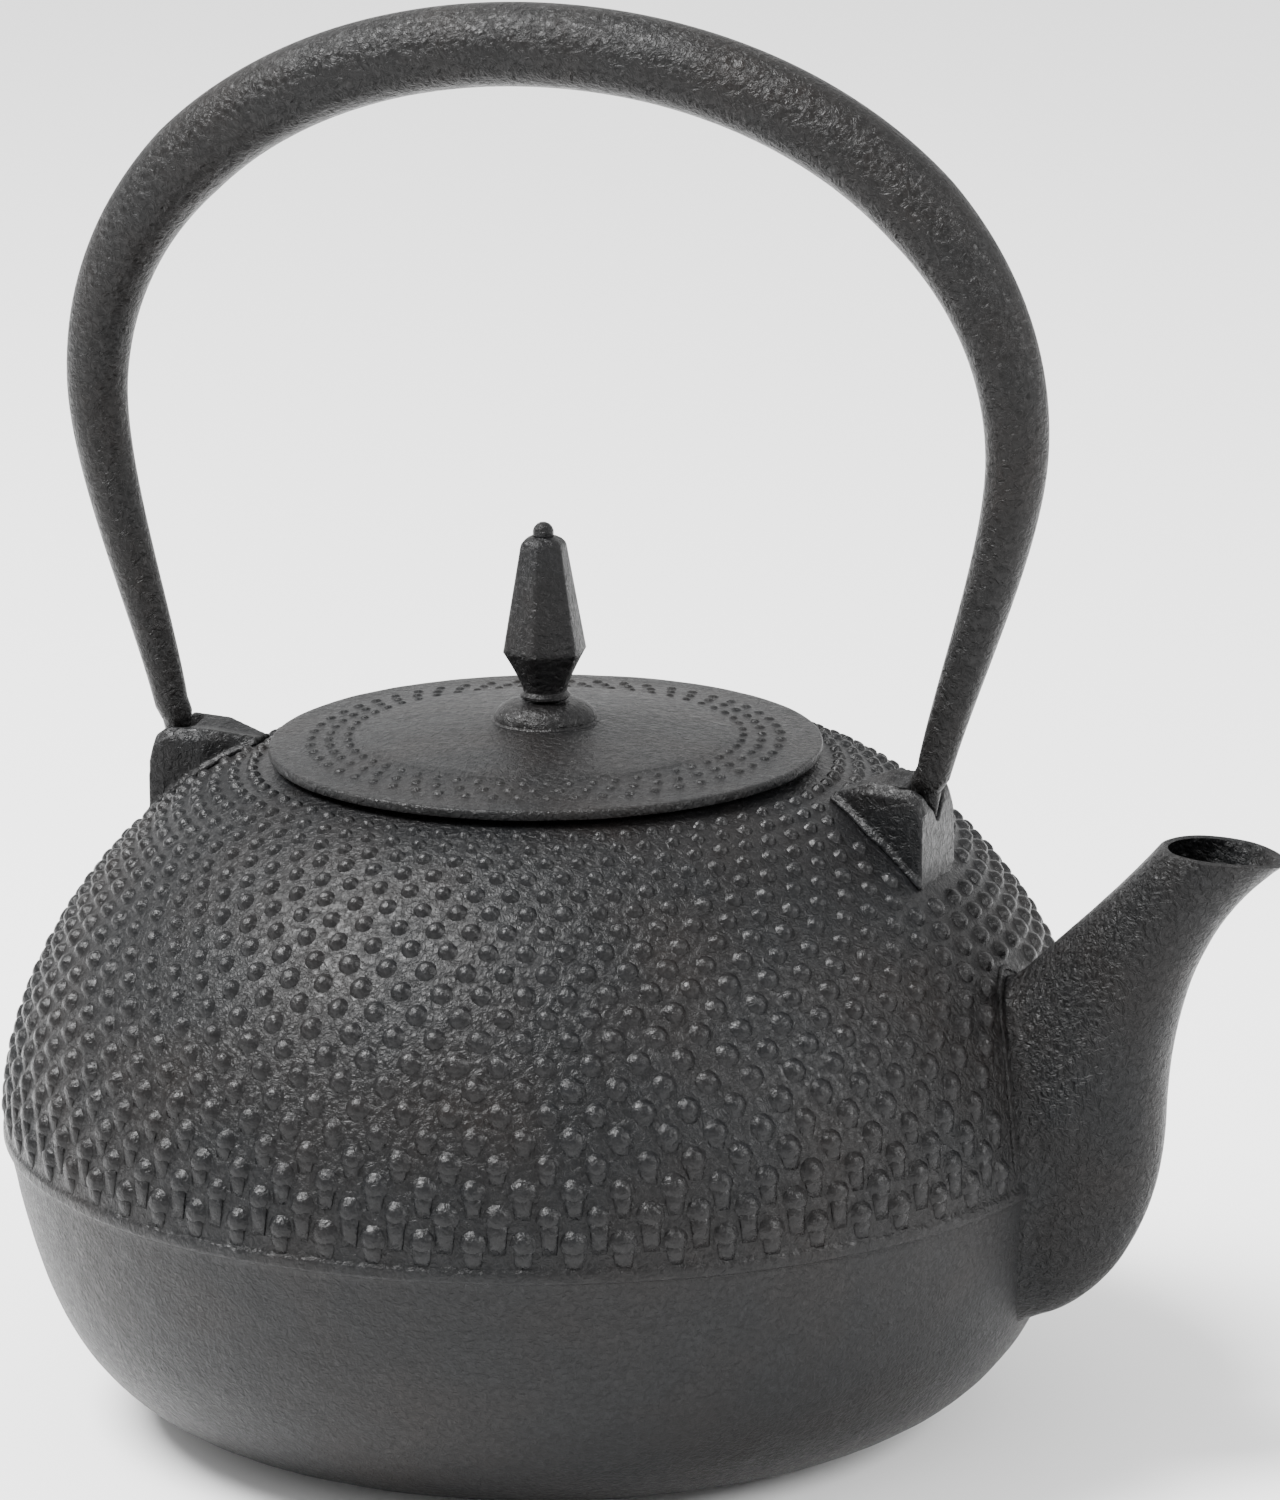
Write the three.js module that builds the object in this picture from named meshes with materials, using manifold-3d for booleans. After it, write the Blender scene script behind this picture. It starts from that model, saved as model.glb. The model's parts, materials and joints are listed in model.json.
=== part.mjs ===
// Cast iron teapot in the flat-round kettle form: a hollow cast pot with a fused spout and two
// handle lugs, a drop-in lid with a riveted knob, and a bail handle that rocks in the lugs.
// Millimetres, +Z up, +X towards the spout. The origin is the centre of the flat base.
import * as THREE from "three";
import { mergeVertices } from "three/addons/utils/BufferGeometryUtils.js";
import Module from "manifold-3d";

const wasm = await Module();
wasm.setup();

// ---- driving dimensions -------------------------------------------------------------------

// Pot
const BODY_RADIUS = 88; // widest point, at the waist
const BODY_HEIGHT = 107.2; // base to the shoulder round the mouth
const WAIST_HEIGHT = 48.3; // lower edge of the studded dome
const BASE_RADIUS = 43.4; // flat the pot stands on
const WALL = 3.6;
const BAND_HEIGHT = 2; // plain band under the dome
const BAND_STEP = 0.6; // how far the bowl is set in below that band
const MOUTH_RADIUS = 36;
const COLLAR_WIDTH = 5; // raised seat round the mouth
const COLLAR_RISE = 0.6;
const DOME_FLANK = 0.49; // share of the dome's height that stays near upright
const DOME_SHOULDER = 0.42; // share of the dome's width taken by its shoulder
const BOWL_FLANK = 0.49; // share of the bowl's height that stays near upright
const BOWL_TAPER = 5; // how far the bowl leans in over that flank
const BOWL_FLAT = 0.8; // share of the bowl's width that runs flat to the base

// Lid
const LID_OVERHANG = 3.3; // lid past the collar
const LID_EDGE = 1.6; // thickness at the rim
const LID_RISE = 3.6; // rim to the flat at the centre
const LID_THICKNESS = 3;
const FLANGE_DEPTH = 8; // locating ring under the lid
const FLANGE_WALL = 3;
const FLANGE_CLEARANCE = 0.7; // radial, in the mouth

// Knob and its rivet
const KNOB_HEIGHT = 32.3; // seat flat to the top of the bead
const KNOB_RADIUS = 7; // hexagon corner at the widest level
const KNOB_TOP_RADIUS = 3.7;
const KNOB_NECK_RADIUS = 3.6;
const KNOB_WIDEST = 6.7; // height of the widest level above the neck
const KNOB_BEAD_RADIUS = 1.7;
const KNOB_TURN = 37.5; // degrees, first hexagon corner from +X
const SEAT_RADIUS = 8.3; // domed washer under the knob
const SEAT_HEIGHT = 2.9;
const TENON_RADIUS = 2;
const RIVET_WASHER_RADIUS = 5.5;
const RIVET_WASHER_THICKNESS = 1.2;
const RIVET_HEAD_RADIUS = 3.2;
const RIVET_HEAD_HEIGHT = 1.6;

// Spout, measured from the body
const SPOUT_REACH = 36.4; // body radius to the tip
const SPOUT_MOUTH_LENGTH = 20.2;
const SPOUT_MOUTH_WIDTH = 16;
const SPOUT_LIP_DROP = 4.6; // back lip below the shoulder
const SPOUT_TIP_DROP = 5.9; // tip below the shoulder
const SPOUT_ROOT_ABOVE = 27.7; // root above the waist
const SPOUT_ROOT_BELOW = 26; // root below the waist
const SPOUT_ROOT_WIDTH = 32;
const SPOUT_BELLY = 16.6; // body radius to the outer edge at its belly
const SPOUT_WALL = 2.8;
const SPOUT_LIP = 1.5;
const PORT_LENGTH_SHARE = 0.745; // opening through the pot wall, as a share of the root
const PORT_WIDTH_SHARE = 0.56;
const PORT_ABOVE_WAIST = 3; // centre of that opening above the waist

// Handle lugs, measured from the lid's rim and from the dome's surface
const LUG_REACH = 22.6; // lid rim to the lug's outer face
const LUG_WIDTH = 15;
const LUG_RISE = 10; // top above the dome, on the spout side
const REAR_LUG_DROP = 1.6; // the rear lug is cast lower
const LUG_LENGTH = 17;
const LUG_VALLEY = 1.6; // depth of the trough along the top, half of the drop less at the rear
const NOTCH_HALF_ANGLE = 40; // degrees
const NOTCH_FLOOR_WIDTH = 0.8;
const NOTCH_BELOW_PIVOT = 1.4;
const PIVOT_ABOVE_DOME = 3.879; // handle pivot above the dome under the stud's inner end

// Handle
const HANDLE_RISE = 118.1; // pivot to the crown's centre line
const HANDLE_BULGE = 14; // foot to the widest point, each side
const HANDLE_BULGE_RISE = 58.6;
const HANDLE_THICKNESS = 13.3; // at the crown
const HANDLE_FOOT_THICKNESS = 5;
const HANDLE_TAPER_START = 0.4; // share of the half-length that keeps the full thickness
const CROWN_SHIFT = 2.2; // the crown stands this far towards the spout
const TOE_INSET = 1.9; // foot's centre line inside the lug's outer face
const TOE_DROP = 0.9; // tip of the toe below the pivot
const TOE_TIP = [1.7, 0.5]; // half-thickness at the tip, along X and along Y
const TOE_HEIGHT = 5; // the wedge's height above the pivot
const STUD_RADIUS = 1.5;
const STUD_LENGTH = 5.9; // how far the pivot stud reaches in from the foot's centre line

// Clearances
const FACE_GAP = 0.3; // between pieces that touch
const STUD_CLEARANCE = 0.3; // radial, stud in its bore

// Facets
const ROUND = 48;
const CURVE_STEPS = 10;
const HANDLE_RINGS = 27;
const HANDLE_SIDES = 12;
const SPOUT_SIDES = 20;
const SPOUT_STATIONS = 12;

// ---- derived radii and heights ------------------------------------------------------------

const COLLAR_RADIUS = MOUTH_RADIUS + COLLAR_WIDTH;
const LID_RADIUS = COLLAR_RADIUS + LID_OVERHANG;
const SHOULDER_RADIUS = LID_RADIUS - 0.3;
const COLLAR_TOP = BODY_HEIGHT + COLLAR_RISE;
const LID_UNDERSIDE = COLLAR_TOP + FACE_GAP;
const LID_RIM_TOP = LID_UNDERSIDE + LID_EDGE;
const LID_CENTRE_TOP = LID_RIM_TOP + LID_RISE;
const LID_CENTRE_UNDERSIDE = LID_CENTRE_TOP - LID_THICKNESS;

// ---- small helpers ------------------------------------------------------------------------

const v2 = (x, y) => new THREE.Vector2(x, y);
const v3 = (x, y, z) => new THREE.Vector3(x, y, z);
const radians = THREE.MathUtils.degToRad;
const mix = THREE.MathUtils.lerp;

function curvePoints(a, b, c, d, steps = CURVE_STEPS) {
  return new THREE.CubicBezierCurve(a, b, c, d).getPoints(steps);
}

// A copy of an open outline, moved sideways: a positive distance is to the left of its direction.
function offsetLine(points, distance) {
  return points.map((point, i) => {
    const before = points[Math.max(i - 1, 0)];
    const after = points[Math.min(i + 1, points.length - 1)];
    const along = after.clone().sub(before).normalize();
    return v2(point.x - along.y * distance, point.y + along.x * distance);
  });
}

// Turns a profile of (radius, height) points round the Z axis.
function turned(points, sides = ROUND, start = 0) {
  const geometry = new THREE.LatheGeometry(points, sides, start);
  return geometry.rotateX(Math.PI / 2);
}

// A closed skin through rings of equal point count, with a flat cap at each end.
function loft(rings) {
  const count = rings[0].length;
  const positions = rings.flat().flatMap((p) => [p.x, p.y, p.z]);
  const faces = [];
  for (let r = 0; r < rings.length - 1; r++) {
    for (let i = 0; i < count; i++) {
      const a = r * count + i;
      const b = r * count + ((i + 1) % count);
      faces.push(a, b, b + count, a, b + count, a + count);
    }
  }
  const last = (rings.length - 1) * count;
  for (let i = 1; i < count - 1; i++) {
    faces.push(0, i + 1, i, last, last + i, last + i + 1);
  }
  const geometry = new THREE.BufferGeometry();
  geometry.setAttribute("position", new THREE.Float32BufferAttribute(positions, 3));
  geometry.setIndex(faces);
  return geometry;
}

// three.js geometry to a manifold solid.
function solid(geometry) {
  const bare = geometry.clone();
  bare.deleteAttribute("normal");
  bare.deleteAttribute("uv");
  const merged = mergeVertices(bare, 1e-4);
  return new wasm.Manifold(
    new wasm.Mesh({
      numProp: 3,
      vertProperties: Float32Array.from(merged.attributes.position.array),
      triVerts: Uint32Array.from(merged.index.array),
    }),
  );
}

// Manifold solid back to a flat-shaded three.js geometry.
function geometryOf(body) {
  const mesh = body.getMesh();
  const indexed = new THREE.BufferGeometry();
  const positions = new THREE.Float32BufferAttribute(mesh.vertProperties, 3);
  indexed.setAttribute("position", positions);
  indexed.setIndex(Array.from(mesh.triVerts));
  const flat = indexed.toNonIndexed();
  flat.computeVertexNormals();
  return flat;
}

const pot = new THREE.Group();

function addPiece(name, geometry, material) {
  const { color, roughness, metalness } = material;
  const look = new THREE.MeshStandardMaterial({ color, roughness, metalness });
  const mesh = new THREE.Mesh(geometry, look);
  mesh.name = name;
  pot.add(mesh);
}

const CAST_IRON = { color: 0x3b3c3f, roughness: 0.62, metalness: 0.55 };
const KNOB_IRON = { color: 0x35363a, roughness: 0.55, metalness: 0.6 };
const HANDLE_IRON = { color: 0x393a3c, roughness: 0.6, metalness: 0.55 };

// ---- pot body -----------------------------------------------------------------------------

// Flat base to waist.
const bowlLine = curvePoints(
  v2(BASE_RADIUS, 0),
  v2(mix(BASE_RADIUS, BODY_RADIUS - BAND_STEP, BOWL_FLAT), 0),
  v2(BODY_RADIUS - BAND_STEP - BOWL_TAPER, (WAIST_HEIGHT - BAND_HEIGHT) * (1 - BOWL_FLANK)),
  v2(BODY_RADIUS - BAND_STEP, WAIST_HEIGHT - BAND_HEIGHT),
);

// Waist to the shoulder round the mouth.
const domeLine = curvePoints(
  v2(BODY_RADIUS, WAIST_HEIGHT),
  v2(BODY_RADIUS - 0.4, mix(WAIST_HEIGHT, BODY_HEIGHT, DOME_FLANK)),
  v2(mix(SHOULDER_RADIUS, BODY_RADIUS, DOME_SHOULDER), BODY_HEIGHT - 2.8),
  v2(SHOULDER_RADIUS, BODY_HEIGHT),
);

const outerLine = [...bowlLine, ...domeLine];

// Height of the dome's surface at a given radius.
function domeHeight(radius) {
  const i = domeLine.findIndex((p) => p.x <= radius);
  const outer = domeLine[i - 1];
  const inner = domeLine[i];
  return mix(outer.y, inner.y, (outer.x - radius) / (outer.x - inner.x));
}

// The pot's whole outside as one solid, grown by the gap that neighbours keep to it.
function bodyEnvelope(gap) {
  const line = offsetLine(outerLine, -gap);
  const top = BODY_HEIGHT + gap;
  const profile = [v2(0, -gap), v2(BASE_RADIUS, -gap), ...line.slice(1, -1)];
  profile.push(v2(SHOULDER_RADIUS, top), v2(0, top));
  return solid(turned(profile));
}

const innerLine = offsetLine(outerLine, WALL).filter((p) => p.x > BASE_RADIUS * 0.9);
innerLine[0] = v2(BASE_RADIUS, WALL);

const shellProfile = [
  v2(0, 0),
  ...outerLine,
  v2(COLLAR_RADIUS + 0.6, BODY_HEIGHT + 0.1),
  v2(COLLAR_RADIUS, COLLAR_TOP),
  v2(MOUTH_RADIUS + 0.8, COLLAR_TOP),
  v2(MOUTH_RADIUS, COLLAR_TOP - 0.8),
  v2(MOUTH_RADIUS, BODY_HEIGHT - WALL - 0.8),
  ...innerLine.reverse(),
  v2(0, WALL),
];

// ---- spout --------------------------------------------------------------------------------

const tipX = BODY_RADIUS + SPOUT_REACH;
const bellyX = BODY_RADIUS + SPOUT_BELLY;
const bellyZ = WAIST_HEIGHT + 8;
const tip = v2(tipX, BODY_HEIGHT - SPOUT_TIP_DROP);
const backLip = v2(tipX - SPOUT_MOUTH_LENGTH, BODY_HEIGHT - SPOUT_LIP_DROP);
const rootTop = v2(BODY_RADIUS - 10.5, WAIST_HEIGHT + SPOUT_ROOT_ABOVE);
const rootBottom = v2(BODY_RADIUS - 10, WAIST_HEIGHT - SPOUT_ROOT_BELOW);

// Upper edge of the spout, seen from the side: root to back lip.
const backEdge = new THREE.CubicBezierCurve(
  rootTop,
  v2(mix(rootTop.x, backLip.x, 0.33), mix(rootTop.y, backLip.y, 0.34)),
  v2(mix(rootTop.x, backLip.x, 0.67), mix(rootTop.y, backLip.y, 0.62)),
  backLip,
);

// Lower edge: root, out round the belly, up and out to the tip.
const frontEdge = new THREE.CurvePath();
const bellyPoint = v2(bellyX, bellyZ);
frontEdge.add(
  new THREE.CubicBezierCurve(
    rootBottom,
    v2(BODY_RADIUS + 5, rootBottom.y),
    v2(bellyX - 0.4, mix(rootBottom.y, bellyZ, 0.5)),
    bellyPoint,
  ),
);
frontEdge.add(
  new THREE.CubicBezierCurve(
    bellyPoint,
    v2(bellyX + 0.6, mix(bellyZ, tip.y, 0.45)),
    v2(mix(bellyX, tipX, 0.33), mix(bellyZ, tip.y, 0.78)),
    tip,
  ),
);

// One closed section between an upper and a lower point: an ellipse at power 2, nearer to a
// diamond as the power falls.
function spoutRing(upper, lower, halfWidth, power) {
  const ring = [];
  const centre = upper.clone().add(lower).multiplyScalar(0.5);
  const half = lower.clone().sub(upper).multiplyScalar(0.5);
  for (let i = 0; i < SPOUT_SIDES; i++) {
    const angle = (i / SPOUT_SIDES) * 2 * Math.PI;
    const c = Math.cos(angle);
    const s = Math.sin(angle);
    const along = Math.sign(c) * Math.abs(c) ** (2 / power);
    const across = Math.sign(s) * Math.abs(s) ** (2 / power);
    ring.push(v3(centre.x + half.x * along, across * halfWidth, centre.y + half.y * along));
  }
  return ring;
}

// Upper and lower edge, half-width and section power at a share of the spout's length.
function spoutStation(t) {
  const upper = backEdge.getPointAt(t);
  const lower = frontEdge.getPointAt(t);
  const halfWidth = mix(SPOUT_MOUTH_WIDTH, SPOUT_ROOT_WIDTH, (1 - t) ** 2.2) / 2;
  const power = mix(1.4, 2, Math.min(1, 1.6 * t));
  return { upper, lower, halfWidth, power };
}

function spoutOutside() {
  const rings = [];
  for (let i = 0; i <= SPOUT_STATIONS; i++) {
    const { upper, lower, halfWidth, power } = spoutStation(i / SPOUT_STATIONS);
    rings.push(spoutRing(upper, lower, halfWidth, power));
  }
  return solid(loft(rings));
}

// The water's way: from inside the pot, through the port and out past the lip.
function spoutChannel() {
  const centre = WAIST_HEIGHT + PORT_ABOVE_WAIST;
  const halfLength = ((SPOUT_ROOT_ABOVE + SPOUT_ROOT_BELOW) * PORT_LENGTH_SHARE) / 2;
  const halfPort = (SPOUT_ROOT_WIDTH * PORT_WIDTH_SHARE) / 2;
  const port = (x) => spoutRing(v2(x, centre + halfLength), v2(x, centre - halfLength), halfPort, 2);
  const rings = [port(BODY_RADIUS - 22), port(BODY_RADIUS - 4)];
  for (let i = 2; i <= SPOUT_STATIONS; i++) {
    const t = i / SPOUT_STATIONS;
    const { upper, lower, halfWidth, power } = spoutStation(t);
    const wall = mix(SPOUT_WALL, SPOUT_LIP, t);
    const inward = lower.clone().sub(upper).normalize().multiplyScalar(wall);
    const top = upper.clone().add(inward);
    const bottom = lower.clone().sub(inward);
    rings.push(spoutRing(top, bottom, halfWidth - wall, power));
  }
  const past = rings.at(-1).map((p) => v3(p.x + 1, p.y, p.z + 4));
  return solid(loft([...rings, past]));
}

const channel = spoutChannel();
const envelope = bodyEnvelope(FACE_GAP);
const shell = solid(turned(shellProfile)).subtract(channel);
const dome = shell.trimByPlane([0, 0, 1], WAIST_HEIGHT + FACE_GAP / 2);
const bowl = shell.trimByPlane([0, 0, -1], FACE_GAP / 2 - WAIST_HEIGHT);
const spout = spoutOutside().subtract(channel).subtract(envelope);
addPiece("pot_bowl", geometryOf(bowl), CAST_IRON);
addPiece("pot_dome", geometryOf(dome), CAST_IRON);
addPiece("spout", geometryOf(spout), CAST_IRON);

// ---- handle lugs --------------------------------------------------------------------------

const lugFaceX = LID_RADIUS + LUG_REACH;
const footX = lugFaceX - TOE_INSET;
const studEnd = footX - STUD_LENGTH;
const pivotZ = domeHeight(studEnd) + PIVOT_ABOVE_DOME;

// Half-thickness of the handle along its half, from 0 at the crown to 1 at the foot.
function handleRadius(t) {
  const taper = Math.max(0, (t - HANDLE_TAPER_START) / (1 - HANDLE_TAPER_START));
  return mix(HANDLE_THICKNESS, HANDLE_FOOT_THICKNESS, taper) / 2;
}

// Half-thickness of the leg where the toe begins.
const legRadius = handleRadius(0.96);

// One cross-section of a lug: two ridges with a trough between them.
function lugRing(x, halfWidth, top, valley) {
  const foot = domeHeight(Math.min(x, BODY_RADIUS - 5)) - WALL / 2;
  return [
    v3(x, -halfWidth, foot),
    v3(x, halfWidth, foot),
    v3(x, halfWidth * 0.94, top - 1.8),
    v3(x, halfWidth * 0.72, top),
    v3(x, 0, top - valley),
    v3(x, -halfWidth * 0.72, top),
    v3(x, -halfWidth * 0.94, top - 1.8),
  ];
}

// A lug on the +X side, with the notch that the handle's toe stands in and the bore for its stud.
function lug(drop) {
  const half = LUG_WIDTH / 2;
  const inner = lugFaceX - LUG_LENGTH;
  const top = domeHeight(lugFaceX - 6) + LUG_RISE - drop;
  const valley = LUG_VALLEY - drop / 2;
  const rings = [
    lugRing(inner, half * 0.3, domeHeight(inner) + 0.8, 0.3),
    lugRing(inner + LUG_LENGTH * 0.45, half * 0.8, top, valley),
    lugRing(lugFaceX - 2.6, half * 0.98, top, valley),
    lugRing(lugFaceX - 0.7, half, top - 1.4, valley),
    lugRing(lugFaceX, half, top - 4, 0.2),
  ];
  return solid(loft(rings)).subtract(envelope).subtract(notch()).subtract(studBore());
}

// The V cut in a lug's outer face, clear of the toe and the leg above it.
function notch() {
  const floor = pivotZ - NOTCH_BELOW_PIVOT;
  const depth = LUG_RISE + NOTCH_BELOW_PIVOT;
  const floorHalf = NOTCH_FLOOR_WIDTH / 2;
  const mouthHalf = floorHalf + depth * Math.tan(radians(NOTCH_HALF_ANGLE));
  const wedge = (x) => [
    v3(x, -floorHalf, floor),
    v3(x, floorHalf, floor),
    v3(x, mouthHalf, floor + depth),
    v3(x, -mouthHalf, floor + depth),
  ];
  return solid(loft([wedge(footX - legRadius - FACE_GAP), wedge(lugFaceX + 3)]));
}

// A round bar along X.
function barAlongX(radius, from, to, z) {
  const bar = new THREE.CylinderGeometry(radius, radius, to - from, 24);
  bar.rotateZ(Math.PI / 2);
  return solid(bar.translate((from + to) / 2, 0, z));
}

function studBore() {
  const radius = STUD_RADIUS + STUD_CLEARANCE;
  return barAlongX(radius, studEnd - FACE_GAP, lugFaceX - 1.2, pivotZ);
}

function acrossPot(body) {
  return body.mirror([1, 0, 0]);
}

addPiece("spout_side_lug", geometryOf(lug(0)), CAST_IRON);
addPiece("rear_lug", geometryOf(acrossPot(lug(REAR_LUG_DROP))), CAST_IRON);

// ---- handle -------------------------------------------------------------------------------

// Half of the centre line, crown to foot, as (x, z).
function handleHalf() {
  const foot = v2(footX, pivotZ);
  const bulge = v2(footX + HANDLE_BULGE, pivotZ + HANDLE_BULGE_RISE);
  const crown = v2(0, pivotZ + HANDLE_RISE);
  const path = new THREE.CurvePath();
  path.add(
    new THREE.CubicBezierCurve(
      crown,
      v2(0.57 * bulge.x, crown.y),
      v2(bulge.x, mix(bulge.y, crown.y, 0.57)),
      bulge,
    ),
  );
  path.add(
    new THREE.CubicBezierCurve(
      bulge,
      v2(bulge.x, mix(bulge.y, foot.y, 0.29)),
      v2(mix(foot.x, bulge.x, 0.1), mix(bulge.y, foot.y, 0.76)),
      foot,
    ),
  );
  return path;
}

// A ring of the bar about a centre, square to the direction (x, z).
function handleRing(centre, direction, inPlane, across) {
  const ring = [];
  for (let i = 0; i < HANDLE_SIDES; i++) {
    const angle = ((i + 0.5) / HANDLE_SIDES) * 2 * Math.PI;
    const side = Math.cos(angle) * inPlane;
    const y = -Math.sin(angle) * across;
    ring.push(v3(centre.x - direction.y * side, y, centre.y + direction.x * side));
  }
  return ring;
}

// The wedge-shaped toe: its half-thicknesses at a height above the pivot.
function toeSize(height) {
  const t = (height + TOE_DROP) / (TOE_HEIGHT + TOE_DROP);
  return [mix(TOE_TIP[0], legRadius, t), mix(TOE_TIP[1], legRadius, t)];
}

// The two half centre lines and toes as one row of rings, rear toe to front toe.
function handleBar() {
  const half = handleHalf();
  const lean = (p) => v2(p.x + (CROWN_SHIFT * (p.y - pivotZ)) / HANDLE_RISE, p.y);
  const rings = [];
  const addRing = (side, t) => {
    const at = half.getPointAt(t);
    const along = half.getTangentAt(t);
    const centre = lean(v2(side * at.x, at.y));
    const direction = v2(along.x, side * along.y);
    const radius = handleRadius(t);
    rings.push(handleRing(centre, direction, radius, radius));
  };
  const addToe = (side, height) => {
    const [inPlane, across] = toeSize(height);
    const down = v2(0, -side);
    rings.push(handleRing(v2(side * footX, pivotZ + height), down, inPlane, across));
  };
  const toeHeights = [-TOE_DROP, TOE_HEIGHT * 0.3, TOE_HEIGHT * 0.65];
  toeHeights.forEach((height) => addToe(-1, height));
  for (let i = HANDLE_RINGS - 1; i > 0; i--) addRing(-1, i / HANDLE_RINGS);
  for (let i = 0; i < HANDLE_RINGS; i++) addRing(1, i / HANDLE_RINGS);
  toeHeights.reverse().forEach((height) => addToe(1, height));
  return solid(loft(rings));
}

const stud = barAlongX(STUD_RADIUS, studEnd, footX + 0.4, pivotZ);
const handle = handleBar().add(stud).add(acrossPot(stud));
addPiece("handle", geometryOf(handle), HANDLE_IRON);

// ---- lid and knob -------------------------------------------------------------------------

const flangeOuter = MOUTH_RADIUS - FLANGE_CLEARANCE;
const flangeInner = flangeOuter - FLANGE_WALL;
const tenonHole = TENON_RADIUS + STUD_CLEARANCE;
const lidProfile = [
  v2(tenonHole, LID_CENTRE_UNDERSIDE),
  v2(flangeInner - 2, LID_UNDERSIDE - 0.6),
  v2(flangeInner, LID_UNDERSIDE - 2),
  v2(flangeInner, LID_UNDERSIDE - FLANGE_DEPTH),
  v2(flangeOuter - 0.4, LID_UNDERSIDE - FLANGE_DEPTH),
  v2(flangeOuter, LID_UNDERSIDE - FLANGE_DEPTH + 1),
  v2(flangeOuter, LID_UNDERSIDE),
  v2(LID_RADIUS - 0.3, LID_UNDERSIDE),
  v2(LID_RADIUS, LID_UNDERSIDE + 0.3),
  v2(LID_RADIUS, LID_RIM_TOP - 0.3),
  v2(LID_RADIUS - 0.3, LID_RIM_TOP),
  v2(LID_RADIUS * 0.9, LID_RIM_TOP + 0.2),
  v2(LID_RADIUS * 0.65, mix(LID_RIM_TOP, LID_CENTRE_TOP, 0.36)),
  v2(SEAT_RADIUS + 1, LID_CENTRE_TOP),
  v2(tenonHole, LID_CENTRE_TOP),
  v2(tenonHole, LID_CENTRE_UNDERSIDE),
];
addPiece("lid", turned(lidProfile), CAST_IRON);

// Domed washer between lid and knob.
const seatBottom = LID_CENTRE_TOP + FACE_GAP;
const seatTop = seatBottom + SEAT_HEIGHT;
const seatProfile = [
  v2(tenonHole, seatBottom),
  v2(SEAT_RADIUS - 0.3, seatBottom),
  v2(SEAT_RADIUS, seatBottom + 0.5),
  v2(SEAT_RADIUS * 0.82, seatBottom + SEAT_HEIGHT * 0.45),
  v2(SEAT_RADIUS * 0.58, seatBottom + SEAT_HEIGHT * 0.8),
  v2(KNOB_NECK_RADIUS + 0.2, seatTop),
  v2(tenonHole, seatTop),
  v2(tenonHole, seatBottom),
];
addPiece("knob_seat", turned(seatProfile, 36), KNOB_IRON);

// Washer under the lid that the tenon is riveted over.
const washerTop = LID_CENTRE_UNDERSIDE - FACE_GAP - 0.2;
const washerBottom = washerTop - RIVET_WASHER_THICKNESS;
const washerProfile = [
  v2(tenonHole, washerBottom),
  v2(RIVET_WASHER_RADIUS, washerBottom),
  v2(RIVET_WASHER_RADIUS, washerTop),
  v2(tenonHole, washerTop),
  v2(tenonHole, washerBottom),
];
addPiece("rivet_washer", turned(washerProfile, 36), KNOB_IRON);

// Knob: a hexagonal spindle with a round neck, a bead on top and the riveted tenon below.
const knobFoot = seatTop + FACE_GAP;
const neckTop = knobFoot + 1.2;
const knobTop = LID_CENTRE_TOP + KNOB_HEIGHT;
const beadCentre = knobTop - KNOB_BEAD_RADIUS;
const spindleTop = beadCentre - 0.6;
const widestZ = neckTop + KNOB_WIDEST;
const headTop = washerBottom - FACE_GAP;
const spindleProfile = [
  v2(0, neckTop - 0.4),
  v2(KNOB_NECK_RADIUS + 0.1, neckTop - 0.4),
  v2(KNOB_RADIUS, widestZ),
  v2(KNOB_TOP_RADIUS + 0.2, spindleTop - 1.6),
  v2(KNOB_TOP_RADIUS - 0.8, spindleTop),
  v2(0, spindleTop),
];
const roundProfile = [
  v2(0, headTop - RIVET_HEAD_HEIGHT),
  v2(RIVET_HEAD_RADIUS * 0.6, headTop - RIVET_HEAD_HEIGHT),
  v2(RIVET_HEAD_RADIUS, headTop - RIVET_HEAD_HEIGHT * 0.4),
  v2(RIVET_HEAD_RADIUS, headTop),
  v2(TENON_RADIUS, headTop),
  v2(TENON_RADIUS, knobFoot),
  v2(KNOB_NECK_RADIUS, knobFoot),
  v2(KNOB_NECK_RADIUS + 0.3, knobFoot + 0.6),
  v2(KNOB_NECK_RADIUS, neckTop),
  v2(0, neckTop),
];
const bead = new THREE.SphereGeometry(KNOB_BEAD_RADIUS, 20, 12).rotateX(Math.PI / 2);
const cornerTurn = radians(KNOB_TURN) + Math.PI / 2;
const knob = solid(turned(spindleProfile, 6, cornerTurn))
  .add(solid(turned(roundProfile, 36)))
  .add(solid(bead.translate(0, 0, beadCentre)));
addPiece("knob", geometryOf(knob), KNOB_IRON);

export default pot;
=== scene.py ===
"""Cast iron teapot: the finished pieces, their iron, and the stage they stand on."""

import json
import math

import bmesh
import bpy
import numpy as np
from bpy.props import FloatProperty, FloatVectorProperty, IntProperty, PointerProperty
from mathutils import Matrix, Vector, noise

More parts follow.
